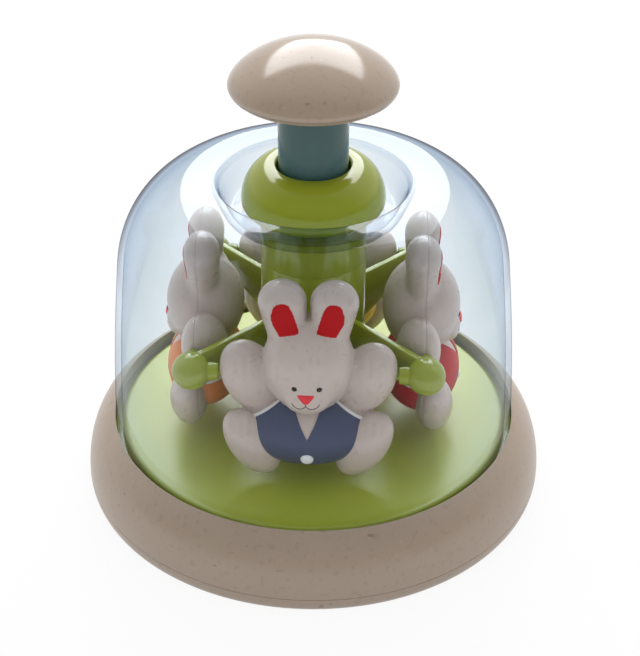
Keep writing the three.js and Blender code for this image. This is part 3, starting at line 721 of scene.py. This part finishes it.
def floor_disc():
    """The green floor, whose rim goes down inside the dome to a flange, and four bosses for the screws."""
    underside = FLOOR - FLOOR_THICKNESS
    rim_inside = RIM_RADIUS - FLOOR_THICKNESS
    edge = arc((RIM_RADIUS - FLOOR_EDGE, FLOOR - FLOOR_EDGE), (FLOOR_EDGE, FLOOR_EDGE), 0, 90, 10)
    outline = [
        (rim_inside, FLANGE_BOTTOM), (BEAD_RADIUS, FLANGE_BOTTOM), (BEAD_RADIUS, FLANGE_TOP),
        (RIM_RADIUS, FLANGE_TOP), *edge, (PIN_BORE, FLOOR), (PIN_BORE, underside),
        (rim_inside, underside),
    ]
    top = underside + 0.3  # just inside the disc
    boss = rod("boss", BOSS_RADIUS, BOSS_BOTTOM, top, 32)
    bored = cut_mesh(boss, [rod("boss_hole", SCREW_BORE, 1, 12.6, 24)])
    disc = lathe("disc", outline, 160, 0.4)
    mesh = merge_meshes("floor_disc_body", [disc, *[moved_mesh(bored, place) for place in screw_places()]])
    add_piece("floor_disc_body", mesh, "lime_plastic", "base", ["floor_disc"])


# Dome, hub and sleeve


def wall_radius(height):
    share = max(0.0, (height - CROWN) / DOME_WALL_HEIGHT)
    return DOME_FOOT_RADIUS - DOME_LEAN * share + DOME_BULGE * math.sin(math.pi * share)


def clear_dome():
    """The shell: bead, wall, shoulder, ridge and the well round the hub."""
    heights = [CROWN + DOME_WALL_HEIGHT * i / 14 for i in range(14)]
    wall = [(wall_radius(z), z) for z in heights]
    center = (RIDGE_RADIUS, RIDGE - SHOULDER_RISE)
    shoulder = arc(center, (SHOULDER_WIDTH, SHOULDER_RISE), SHOULDER_START, 90, 30)
    well, steps = [], 30
    start, end = WELL_DROP
    for i in range(1, steps + 1):
        share = i / steps
        dropped = min(1.0, max(0.0, (share - start) / (end - start)))
        drop = (RIDGE - WELL_FLOOR) * (1 - math.cos(math.pi * dropped)) / 2
        well.append((RIDGE_RADIUS + (WELL_RADIUS - RIDGE_RADIUS) * share, RIDGE - drop))
    outside = [(DOME_FOOT_RADIUS, BEAD_TOP), *wall, *shoulder, *well, (COLLAR_BORE, WELL_FLOOR)]
    outline = [
        (DOME_FOOT_RADIUS - DOME_WALL, DOME_FOOT), (BEAD_RADIUS, DOME_FOOT), (BEAD_RADIUS, BEAD_TOP),
        *outside, *offset(outside, DOME_WALL)[::-1],
    ]
    turned("clear_dome", outline, 192, "clear_plastic", "base", 0.35, "shell")


def hub_cap():
    """The cap in the well, with the spigot that goes down into the sleeve's collar."""
    center = (HUB_RADIUS - HUB_CROWN_WIDTH, HUB_WIDEST)
    foot = -math.degrees(math.asin((HUB_WIDEST - HUB_BOTTOM) / HUB_TUCK_RISE))
    tuck = arc(center, (HUB_CROWN_WIDTH, HUB_TUCK_RISE), foot, 0, 12)
    crown = arc(center, (HUB_CROWN_WIDTH, HUB_TOP - HUB_WIDEST), 0, 90, 18)[1:]
    hole, bevel = STEM_RADIUS + 0.8, 0.7
    roof = HUB_TOP - 5
    hollow = tuck[0][0] - 2.6
    outline = [
        *tuck, *crown, (hole + bevel, HUB_TOP), (hole, HUB_TOP - bevel), (hole, roof),
        (SPIGOT_BORE, roof), (SPIGOT_BORE, SPIGOT_BOTTOM), (SPIGOT_RADIUS, SPIGOT_BOTTOM),
        (SPIGOT_RADIUS, HUB_HOLLOW_TOP), (hollow, HUB_HOLLOW_TOP), (hollow, HUB_BOTTOM),
    ]
    turned("hub_cap", outline, 128, "lime_plastic", "base")


def guide_sleeve():
    """The sleeve round the stem: a collar over the column, and two keys that stop the stem turning."""
    collar_bottom = COLUMN_TOP + COLLAR_LINE
    counterbore = COLLAR_TOP - 4.8
    outline = [
        (SLEEVE_BORE, SLEEVE_BOTTOM), (SLEEVE_RADIUS, SLEEVE_BOTTOM), (SLEEVE_RADIUS, collar_bottom),
        (COLUMN_RADIUS, collar_bottom), (COLUMN_RADIUS, COLLAR_TOP), (COLLAR_BORE, COLLAR_TOP),
        (COLLAR_BORE, counterbore), (GUIDE_BORE, counterbore), (GUIDE_BORE, STOP), (SLEEVE_BORE, STOP),
    ]
    parts = [lathe("sleeve", outline, 96, 0.12)]
    for side in (1, -1):
        middle = (0, side * KEY_CIRCLE, (SLEEVE_BOTTOM + STOP) / 2)
        parts.append(box_mesh("key", middle, (3.0, 2.1, STOP - SLEEVE_BOTTOM), rounding=0.3))
    mesh = merge_meshes("guide_sleeve_body", parts)
    add_piece("guide_sleeve_body", mesh, "lime_plastic", "base", ["guide_sleeve"])


# Knob and stem


def knob_crown(radius, rise):
    """The crown's outline from its widest place up to its middle."""
    outline = []
    for degrees in range(0, 90, 3):
        angle = math.radians(degrees)
        height = KNOB_WIDEST + rise * math.sin(angle) ** KNOB_CURVE[1]
        outline.append((radius * math.cos(angle) ** KNOB_CURVE[0], height))
    return [*outline, (0, KNOB_WIDEST + rise)]


def knob_edge(low_drop, high_drop, steps):
    """The lower edge between two drops below the widest place, from the lower one up."""
    low, high = (-math.degrees(math.asin(drop / KNOB_EDGE[1])) for drop in (low_drop, high_drop))
    return arc((KNOB_RADIUS - KNOB_EDGE[0], KNOB_WIDEST), KNOB_EDGE, low, high, steps)


def knob():
    """The crown, with a boss inside for its screw, and the underside with the collar round the stem."""
    inner_radius = KNOB_RADIUS - KNOB_WALL
    boss_radius = 5.0
    inside = knob_crown(inner_radius, KNOB_RISE - KNOB_WALL)
    inside = [point for point in inside if point[0] > boss_radius + 1][::-1]
    seam = knob_edge(KNOB_SEAM_DROP, 0, 5)
    boss_foot, bore_end = KNOB_WIDEST + GAP, KNOB_WIDEST + 6.6
    outline = [
        (0, bore_end), (KNOB_SCREW_BORE, bore_end), (KNOB_SCREW_BORE, boss_foot),
        (boss_radius, boss_foot), (boss_radius, inside[0][1]), *inside, (inner_radius, seam[0][1]),
        *seam[:-1], *knob_crown(KNOB_RADIUS, KNOB_RISE),
    ]
    turned("knob_cap", outline, 144, "natural_fibre_plastic", "plunger", 0.12)
    bore = STEM_RADIUS + GAP
    collar, seam_width = bore + 1.9, 0.1
    edge = knob_edge(KNOB_EDGE[1], KNOB_SEAM_DROP + seam_width, 9)
    outline = [(bore, KNOB_BOTTOM), (collar, KNOB_BOTTOM), (collar, edge[0][1]), *edge, (bore, edge[-1][1])]
    turned("knob_underside", outline, 144, "natural_fibre_plastic", "plunger", 0.12)


def plunger_tube():
    """The stem, with a roof for the knob's screw and a stop flange notched for the sleeve's keys."""
    roof = KNOB_WIDEST - 3
    outline = [
        (STEM_BORE, STOP_FLANGE_BOTTOM), (STOP_FLANGE_RADIUS, STOP_FLANGE_BOTTOM),
        (STOP_FLANGE_RADIUS, STOP_FLANGE_TOP), (STEM_RADIUS, STOP_FLANGE_TOP),
        (STEM_RADIUS, KNOB_WIDEST), (KNOB_SCREW_BORE, KNOB_WIDEST), (KNOB_SCREW_BORE, roof),
        (STEM_BORE, roof),
    ]
    mesh = lathe("plunger", outline, 96, 0.3)
    flange = (STOP_FLANGE_BOTTOM + STOP_FLANGE_TOP) / 2
    notches = [box_mesh("notch", (0, side * KEY_CIRCLE, flange), (3.6, 4.0, 6.0)) for side in (1, -1)]
    mesh = cut_mesh(mesh, notches)
    finish_mesh(mesh)
    add_piece("plunger_tube_body", mesh, "teal_plastic", "plunger", ["plunger_tube"])


# Carousel


def carousel_column():
    column_floor = COLUMN_BOTTOM + 3
    outline = [
        (PIN_BORE, COLUMN_BOTTOM), (COLUMN_RADIUS, COLUMN_BOTTOM), (COLUMN_RADIUS, COLUMN_TOP),
        (COLUMN_BORE, COLUMN_TOP), (COLUMN_BORE, column_floor), (PIN_BORE, column_floor),
    ]
    turned("carousel_column", outline, 112, "lime_plastic", "carousel", 0.12)


def arm_web():
    """The upright plate along +X, deeper at the column, with rounded edges."""
    top = PIVOT_LINE + BALL_RADIUS - 1
    root, root_height, end_height = COLUMN_BORE + GAP, 20, 8
    outline = [
        (root, top - root_height), (COLUMN_RADIUS + 8, top - root_height),
        (BALL_CIRCLE - 3.6, top - end_height), (BALL_CIRCLE, top - end_height), (BALL_CIRCLE, top),
        (root, top),
    ]
    plate = bmesh.new()
    corners = [plate.verts.new((r * MM, -WEB_THICKNESS / 2 * MM, z * MM)) for r, z in outline]
    face = plate.faces.new(corners)
    grown = bmesh.ops.extrude_face_region(plate, geom=[face])
    far_side = [v for v in grown["geom"] if isinstance(v, bmesh.types.BMVert)]
    bmesh.ops.translate(plate, verts=far_side, vec=(0, WEB_THICKNESS * MM, 0))
    bmesh.ops.recalc_face_normals(plate, faces=plate.faces[:])
    bmesh.ops.bevel(plate, geom=plate.edges[:], offset=0.5 * MM, segments=3, profile=0.5, affect="EDGES")
    return mesh_of("web", plate)


def carousel_arms():
    """Four webs with a ball at the end, and from each ball two necks with the pins that rabbits hang on."""
    ball = bmesh.new()
    bmesh.ops.create_uvsphere(ball, u_segments=56, v_segments=32, radius=BALL_RADIUS * MM)
    neck = [(0, 0), (3.5, 0), (3.5, 8.2), (3.2, 9.0), (3.2, 10.1)]
    pin = [(1.8, 10.1), (1.8, 17.2), (0, 17.2)]
    stub = lathe("stub", [*neck, *pin], 40, 0.5)
    end = Matrix.Translation((BALL_CIRCLE * MM, 0, PIVOT_LINE * MM))
    parts = [arm_web(), moved_mesh(mesh_of("ball", ball), end)]
    for angle in (135, -135):
        turn = Matrix.Rotation(math.radians(angle), 4, "Z") @ Matrix.Rotation(QUARTER, 4, "Y")
        parts.append(moved_mesh(stub, end @ turn))
    whole = merge_meshes("arm", parts)
    for i in range(4):
        mesh = moved_mesh(whole, quarter_turn(-0.5 - i))
        add_piece(f"carousel_arm_{i + 1}_body", mesh, "lime_plastic", "carousel", [f"carousel_arm_{i + 1}"])


# Rabbits


def soft_min(first, second, blend):
    share = np.clip(0.5 + 0.5 * (second - first) / blend, 0, 1)
    return second * (1 - share) + first * share - blend * share * (1 - share)


def ellipsoid_field(points, center, halves):
    local = points - np.array(center)
    near = np.linalg.norm(local / halves, axis=1)
    slope = np.linalg.norm(local / np.square(halves), axis=1)
    return near * (near - 1) / np.maximum(slope, 1e-9)


def limb_field(points, limb):
    """Distance to a tapered limb with round ends, flattened in depth, on both sides."""
    low, high, radii, flat = limb
    local = np.column_stack([np.abs(points[:, 0]), points[:, 1] / flat, points[:, 2]])
    start = np.array([low[0], low[1] / flat, low[2]])
    along = np.array([high[0], high[1] / flat, high[2]]) - start
    share = np.clip((local - start) @ along / (along @ along), 0, 1)
    away = np.linalg.norm(local - start - share[:, None] * along, axis=1)
    return (away - radii[0] - (radii[1] - radii[0]) * share) * (0.5 + 0.5 * flat)


def tilted_field(points, form):
    """Distance to an ellipsoid whose top leans outward and whose outer side comes forward, on both sides."""
    center, halves, tilt, forward = form
    across, up = np.abs(points[:, 0]) - center[0], points[:, 2] - center[2]
    back = points[:, 1] - center[1] + forward * across
    turn = math.radians(tilt)
    width = across * math.cos(turn) - up * math.sin(turn)
    length = across * math.sin(turn) + up * math.cos(turn)
    return ellipsoid_field(np.column_stack([width, back, length]), (0, 0, 0), halves)


# The rabbit's forms, round its pivot line and facing -Y: an ellipsoid's middle and half sizes, and a limb's
# lean in degrees and its way forward. An ear has its lower and upper end, their radii and its flatness.
HEAD = ((0, 1.2, 4.0), (17.2, 15.2, 19.3))
MUZZLE = ((0, -10.9, -5.0), (7.5, 3.2, 5.0))
TORSO = ((0, 0.5, -24.0), (24.5, 15.0, 14.4))
EAR = ((7.3, 1.5, 13.5), (9.45, 1.5, 30.2), (6.95, 8.85), 0.79)
PAW = ((21.3, 2.6, -3.4), (10.2, 8.2, 16.6), 25, 0.2)
LEG = ((21.2, -4.6, -28.5), (9.0, 7.2, 15.6), 29, 0)
MUZZLE_BLEND, EAR_BLEND, TORSO_BLEND, PAW_BLEND, LEG_BLEND = 3.5, 1.8, 1.0, 1.3, 0.7
GROOVE_WIDTH, GROOVE_DEPTH, GROOVE_FADE = 0.6, 0.5, 1.2
SEAM_WIDTH, SEAM_DEPTH = 0.5, 0.2  # the hollow line that the two halves meet in
HALF_GAP = 0.05  # from the middle to the cut face of each half
PIN_SOCKET = (25.9, 2.1)  # where the hanging pin's socket starts, and its radius
# The lines in a paw and a foot: across, height and half length
GROOVES = ((22.4, 5.6, 3.2), (26.1, 5.2, 3.0), (21.0, -18.4, 2.4), (24.0, -18.2, 2.8), (27.2, -18.6, 2.0))


def head_field(points):
    head = soft_min(ellipsoid_field(points, *HEAD), ellipsoid_field(points, *MUZZLE), MUZZLE_BLEND)
    return soft_min(head, limb_field(points, EAR), EAR_BLEND)


def grooved(field, points):
    """The field with the lines of the toes sunk into its front."""
    for across, height, half in GROOVES:
        line = np.exp(-(((np.abs(points[:, 0]) - across) / GROOVE_WIDTH) ** 2))
        ends = np.clip((half - np.abs(points[:, 2] - height)) / GROOVE_FADE + 0.5, 0, 1)
        field = field + GROOVE_DEPTH * line * ends * (points[:, 1] < 0)
    return field


def rabbit_field(points):
    """Distance to the rabbit's skin, which its mesh is drawn on to. It is below zero inside."""
    whole = soft_min(head_field(points), ellipsoid_field(points, *TORSO), TORSO_BLEND)
    for limb, blend in ((PAW, PAW_BLEND), (LEG, LEG_BLEND)):
        whole = soft_min(whole, grooved(tilted_field(points, limb), points), blend)
    return whole + SEAM_DEPTH * np.clip(1 - np.abs(points[:, 1]) / SEAM_WIDTH, 0, 1)


def gradient(field, points):
    step = 0.05
    parts = []
    for axis in range(3):
        move = np.zeros(3)
        move[axis] = step
        parts.append((field(points + move) - field(points - move)) / (2 * step))
    return np.column_stack(parts)


def unit(vectors):
    return vectors / np.maximum(np.linalg.norm(vectors, axis=1), 1e-9)[:, None]


def drawn_on(field, points, rounds=7):
    """Points moved on to the field's surface."""
    for _ in range(rounds):
        slope = gradient(field, points)
        square = np.maximum(np.sum(slope * slope, axis=1), 0.05)
        step = slope * (field(points) / square)[:, None]
        length = np.linalg.norm(step, axis=1)
        points = points - step * np.minimum(1, 0.8 / np.maximum(length, 1e-9))[:, None]
    return points


def coarse_rabbit():
    """Balls that fill the rabbit's forms, remeshed into one skin."""
    balls = bmesh.new()

    def ball(center, halves, tilt=0.0):
        turn = Matrix.Rotation(math.radians(tilt), 4, "Y")
        size = Matrix.Diagonal((*[half * MM for half in halves], 1))
        place = Matrix.Translation(Vector(center) * MM) @ turn @ size
        bmesh.ops.create_icosphere(balls, subdivisions=4, radius=1, matrix=place)

    for center, halves in (HEAD, MUZZLE, TORSO):
        ball(center, halves)
    low, high, radii, flat = EAR
    apart, slimmer, steps = 0.9, 0.95, 8  # keep the ears' skins from growing together
    for side in (1, -1):
        for (x, y, z), halves, tilt, _ in (PAW, LEG):
            ball((side * x, y, z), halves, side * tilt)
        for k in range(steps + 1):
            x, y, z = Vector(low).lerp(Vector(high), k / steps)
            radius = radii[0] + (radii[1] - radii[0]) * k / steps
            ball((side * (x + apart), y, z), (slimmer * radius, radius * flat, radius))
    holder = add_object("coarse", mesh_of("coarse", balls))
    remesh = holder.modifiers.new("remesh", "REMESH")
    remesh.mode = "VOXEL"
    remesh.voxel_size = 0.0007
    made = evaluated_mesh(holder)
    bpy.data.objects.remove(holder)
    return made


def mesh_points(mesh):
    flat = np.zeros(len(mesh.vertices) * 3)
    mesh.vertices.foreach_get("co", flat)
    return flat.reshape(-1, 3) / MM


def set_points(mesh, points):
    mesh.vertices.foreach_set("co", (points * MM).astype(np.float32).ravel())
    mesh.update()


def half_rabbit(mesh, side):
    """The front or back half, closed at the seam, with grooves for the hanging pins."""
    half = bmesh.new()
    half.from_mesh(mesh)
    whole = [*half.verts, *half.edges, *half.faces]
    place = (0, side * HALF_GAP * MM, 0)
    cut = bmesh.ops.bisect_plane(half, geom=whole, plane_co=place, plane_no=(0, -side, 0), clear_outer=True)
    rim = [e for e in cut["geom_cut"] if isinstance(e, bmesh.types.BMEdge) and e.is_boundary]
    bmesh.ops.holes_fill(half, edges=rim, sides=0)
    bmesh.ops.triangulate(half, faces=[f for f in half.faces if len(f.verts) > 4])
    bmesh.ops.recalc_face_normals(half, faces=half.faces[:])
    start, radius = PIN_SOCKET
    end = 40  # outside the rabbit
    pin = rod("pin", radius, start, end, 32)
    sockets = [moved_mesh(pin, Matrix.Rotation(sign * QUARTER, 4, "Y")) for sign in (1, -1)]
    made = cut_mesh(mesh_of("half", half), sockets)
    finish_mesh(made, 50)
    return made


def front_of(across, height):
    """Points on the rabbit's front at these places across and up, walked in from before its face."""
    start, steps, pace = -24.0, 60, 0.6
    points = np.column_stack([across, np.full(len(across), start), height])
    for _ in range(steps):
        points[:, 1] += pace * rabbit_field(points)
    return points


def sides(outline):
    """The closed outline's sides, as pairs of points."""
    return zip(outline, np.roll(outline, -1, axis=0), strict=True)


def outline_distance(points, outline):
    """Distance of each point to the closed outline, in the plane."""
    best = np.full(len(points), 1e9)
    for start, end in sides(outline):
        along = end - start
        share = np.clip((points - start) @ along / max(along @ along, 1e-9), 0, 1)
        best = np.minimum(best, np.linalg.norm(points - start - share[:, None] * along, axis=1))
    return best


def inside(points, outline):
    """True for the points that the closed outline holds."""
    crossed = np.zeros(len(points), bool)
    for (x0, z0), (x1, z1) in sides(outline):
        between = (z0 > points[:, 1]) != (z1 > points[:, 1])
        place = x0 + (points[:, 1] - z0) * (x1 - x0) / (z1 - z0 if abs(z1 - z0) > 1e-9 else 1e-9)
        crossed ^= between & (points[:, 0] < place)
    return crossed


def resampled(outline, spacing):
    made = []
    for start, end in sides(outline):
        count = max(1, round(float(np.linalg.norm(end - start)) / spacing))
        made += [start + (end - start) * k / count for k in range(count)]
    return np.array(made)


def patch(name, outline, lift, edge, spacing, sink=0.15):
    """A thin raised shape on the rabbit's front, from its outline across and up.

    It rises to its lift over the width of its edge, and its rim lies sunk in the skin.
    """
    outline = resampled(np.array(outline, float), spacing)
    low, high = outline.min(0), outline.max(0)
    across, up = np.meshgrid(np.arange(low[0], high[0], spacing), np.arange(low[1], high[1], spacing))
    grid = np.column_stack([across.ravel(), up.ravel()])
    grid = grid[inside(grid, outline)]
    grid = grid[outline_distance(grid, outline) > spacing * 0.5] if len(grid) else grid
    plane = np.vstack([outline, grid])
    rim = [(i, (i + 1) % len(outline)) for i in range(len(outline))]
    found = delaunay_2d_cdt([Vector(p) for p in plane], rim, [], 1, 1e-5)
    flat = np.array([tuple(p) for p in found[0]])
    points = front_of(flat[:, 0], flat[:, 1])
    share = np.clip(outline_distance(flat, outline) / edge, 0, 1)
    height = (lift + sink) * np.sqrt(1 - (1 - share) ** 2) - sink
    points = points + unit(gradient(rabbit_field, points)) * height[:, None]
    return make_mesh(name, points, found[2], 60)


def stroke(line, half_width):
    """The outline of a thin line."""
    line = np.array(line, float)
    along = unit(np.gradient(line, axis=0))
    side = np.column_stack([-along[:, 1], along[:, 0]]) * half_width
    return np.vstack([line + side, (line - side)[::-1]])


def circle(center, radius, count=28):
    angles = np.linspace(0, 2 * math.pi, count, endpoint=False)
    return np.column_stack([center[0] + radius * np.cos(angles), center[1] + radius * np.sin(angles)])


def smooth_line(points, steps=6):
    """A curve through the points."""
    points = np.array(points, float)
    padded = np.vstack([2 * points[0] - points[1], points, 2 * points[-1] - points[-2]])
    made = []
    for a, b, c, d in zip(padded, padded[1:], padded[2:], padded[3:]):
        linear, square, cube = c - a, 2 * a - 5 * b + 4 * c - d, 3 * b - a - 3 * c + d
        for k in range(steps):
            t = k / steps
            made.append(0.5 * (2 * b + linear * t + square * t * t + cube * t**3))
    return np.vstack([made, points[-1:]])


# Details on the front: outlines across and up, in millimetres from the pivot line
INNER_EAR = [
    (10.4, 18.6), (13.2, 24.2), (13.6, 27.8), (12.6, 31.7), (11.4, 33.1), (9.4, 33.7), (7.6, 33.3),
    (6.5, 32.5), (5.2, 29.8), (2.9, 20.8)]
NOSE = [
    (-3.2, -0.2), (-2.7, 0.1), (0, 0.15), (2.7, 0.1), (3.2, -0.2), (3.0, -1.0), (1.1, -3.5), (0, -4.1),
    (-1.1, -3.5), (-3.0, -1.0)]
MOUTH = [
    (-5.1, -3.9), (-4.4, -5.1), (-3.2, -5.9), (-1.9, -6.05), (-0.7, -5.5), (0, -4.7), (0.7, -5.5),
    (1.9, -6.05), (3.2, -5.9), (4.4, -5.1), (5.1, -3.9)]
LIP = [(0, -3.9), (0, -4.4), (0, -5.0)]
FACE_SHIFT = -0.4  # the printed nose and mouth sit a little to the left
LINE_WIDTH = 0.52
BUTTON = ((0, -29.2), 2.6)
EYE = ((4.55, 2.3), 1.1)
NECK_POINT, NECK_SLOPE = -20.4, 0.52  # the neck's lowest point and its half width for each mm up from there
ARMHOLE = 2.0  # from a paw to the vest
TRIM_WIDTH = 1.1
VEST_LIFT, TRIM_LIFT = 0.4, 0.8
SHEET_DEPTH = 0.3  # how far the edges of the vest and its trim run into the torso
SHEET_GAP = 0.15  # from the rabbit's middle to each half of them


def face_patches():
    """The painted and raised details as [(name, mesh, slot)]."""
    made = []
    (eye_across, eye_height), eye_radius = EYE
    for side, word in ((-1, "left"), (1, "right")):
        ear = [(side * x, z) for x, z in INNER_EAR][:: -side]
        ear_paint = patch("inner_ear", ear, lift=0.12, edge=0.5, spacing=0.5)
        made.append((f"{word}_inner_ear", ear_paint, "paint_red"))
        outline = circle((side * eye_across, eye_height), eye_radius)
        made.append((f"{word}_eye", patch("eye", outline, lift=0.4, edge=1.1, spacing=0.22), "paint_black"))
    nose = [(x + FACE_SHIFT, z) for x, z in NOSE]
    made.append(("nose", patch("nose", nose[::-1], lift=0.7, edge=1.6, spacing=0.3), "paint_coral"))
    strokes = [stroke(smooth_line(line), LINE_WIDTH / 2) + (FACE_SHIFT, 0) for line in (MOUTH, LIP)]
    lines = [patch("mouth", line[::-1], lift=0.07, edge=0.15, spacing=0.2, sink=0.08) for line in strokes]
    made.append(("mouth", merge_meshes("mouth", lines), "paint_black"))
    button = patch("button", circle(*BUTTON, 40), lift=1.9, edge=2.4, spacing=0.3)
    made.append(("button", button, "white_plastic"))
    return made


def clipped(points, faces, keep):
    """The triangles where keep is above zero, cut exactly along zero."""
    points, keep = list(points), list(keep)
    made, cuts = [], {}

    def crossing(a, b):
        key = (min(a, b), max(a, b))
        if key not in cuts:
            share = keep[a] / (keep[a] - keep[b])
            cuts[key] = len(points)
            points.append(points[a] + (points[b] - points[a]) * share)
            keep.append(0.0)
        return cuts[key]

    for face in faces:
        above = [keep[v] > 0 for v in face]
        if all(above):
            made.append(tuple(face))
        elif any(above):
            loop = []
            for k, v in enumerate(face):
                after = face[(k + 1) % len(face)]
                if keep[v] > 0:
                    loop.append(v)
                if (keep[v] > 0) != (keep[after] > 0):
                    loop.append(crossing(v, after))
            made += [(loop[0], loop[k], loop[k + 1]) for k in range(1, len(loop) - 1)]
    return np.array(points), made


def with_skirt(points, faces, field, depth):
    """The sheet with its open edges carried down into the skin below."""
    edges = [edge for face in faces for edge in zip(face, face[1:] + face[:1])]
    shared = set(edges)
    edges = [(a, b) for a, b in edges if (b, a) not in shared]
    ends = sorted({v for edge in edges for v in edge})
    sunk = {v: len(points) + i for i, v in enumerate(ends)}
    normals = unit(gradient(field, points[ends]))
    skirt = [(b, a, sunk[a], sunk[b]) for a, b in edges]
    return np.vstack([points, points[ends] - normals * depth]), [*faces, *skirt]


def torso_field(points):
    return ellipsoid_field(points, *TORSO)


def torso_sheet(name, lift, borders):
    """A thin layer over the torso where each of the borders, functions of its points, is above zero."""
    ball = bmesh.new()
    columns, rows = ((144, 72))
    bmesh.ops.create_uvsphere(ball, u_segments=columns, v_segments=rows, radius=1)
    points = np.array([tuple(v.co) for v in ball.verts]) * np.array(TORSO[1]) + np.array(TORSO[0])
    ball.verts.index_update()
    faces = [tuple(v.index for v in f.verts) for f in ball.faces]
    ball.free()
    points = points + unit(gradient(torso_field, points)) * lift
    for border in (beside_seam, *borders):
        points, faces = clipped(points, faces, border(points))
    points, faces = with_skirt(points, faces, torso_field, lift + SHEET_DEPTH)
    used = sorted({v for face in faces for v in face})
    order = {v: i for i, v in enumerate(used)}
    return make_mesh(name, points[used], [[order[v] for v in face] for face in faces], 50)


def beside_seam(points):
    return np.abs(points[:, 1]) - SHEET_GAP


def below_arms(points):
    return tilted_field(points, PAW) - ARMHOLE


def near_arms(points):
    return ARMHOLE + TRIM_WIDTH - tilted_field(points, PAW)


def beside_neck(points):
    """Above zero outside the neck's V, which is only in front."""
    neck = np.abs(points[:, 0]) - (points[:, 2] - NECK_POINT) * NECK_SLOPE
    behind = 5.0
    return np.where(points[:, 1] < 0, neck, behind)


def rabbits():
    skin = coarse_rabbit()
    set_points(skin, drawn_on(rabbit_field, mesh_points(skin)))
    halves = {"front": half_rabbit(skin, -1), "back": half_rabbit(skin, 1)}
    details = face_patches()
    vest = torso_sheet("vest", VEST_LIFT, (below_arms, beside_neck))
    trim = torso_sheet("trim", TRIM_LIFT, (below_arms, near_arms))
    hung = Matrix.Translation((0, -HANG_RADIUS * MM, PIVOT_LINE * MM))
    for i, color in enumerate(RABBITS):
        body = f"rabbit_{color}"
        place = quarter_turn(-i) @ hung
        for side, mesh in halves.items():
            shell = [f"{body}_{side}_shell"]
            add_piece(f"{body}_{side}_half", mesh.copy(), "rabbit_plastic", body, shell, place)
        add_piece(f"{body}_vest", vest.copy(), f"paint_{color}", body, (), place)
        add_piece(f"{body}_trim", trim.copy(), "white_plastic", body, (), place)
        for name, mesh, slot in details:
            add_piece(f"{body}_{name}", mesh.copy(), slot, body, (), place)


def dress_inner_pieces():
    """The pieces inside that keep their CAD shape get their finish."""
    slots = {row["node"]: row["material_slot"] for row in frame["record"]["subparts"]}
    for name, node in frame["nodes"].items():
        if not node.hide_render:
            node.data.materials.clear()
            node.data.materials.append(materials[slots[name]])


bpy.context.scene.view_settings.view_transform = "Standard"
make_camera()
materials = make_materials()
make_world((0.74, 0.56), (0.22, 1.0))
make_floor(0.92)
make_lamp("long_softbox", (-0.02, 2.8, 1.18), (1.52, 4.4), 98.0)

base_ring()
bottom_cover()
base_screws()
floor_disc()
clear_dome()
hub_cap()
guide_sleeve()
knob()
plunger_tube()
carousel_column()
carousel_arms()
rabbits()
dress_inner_pieces()
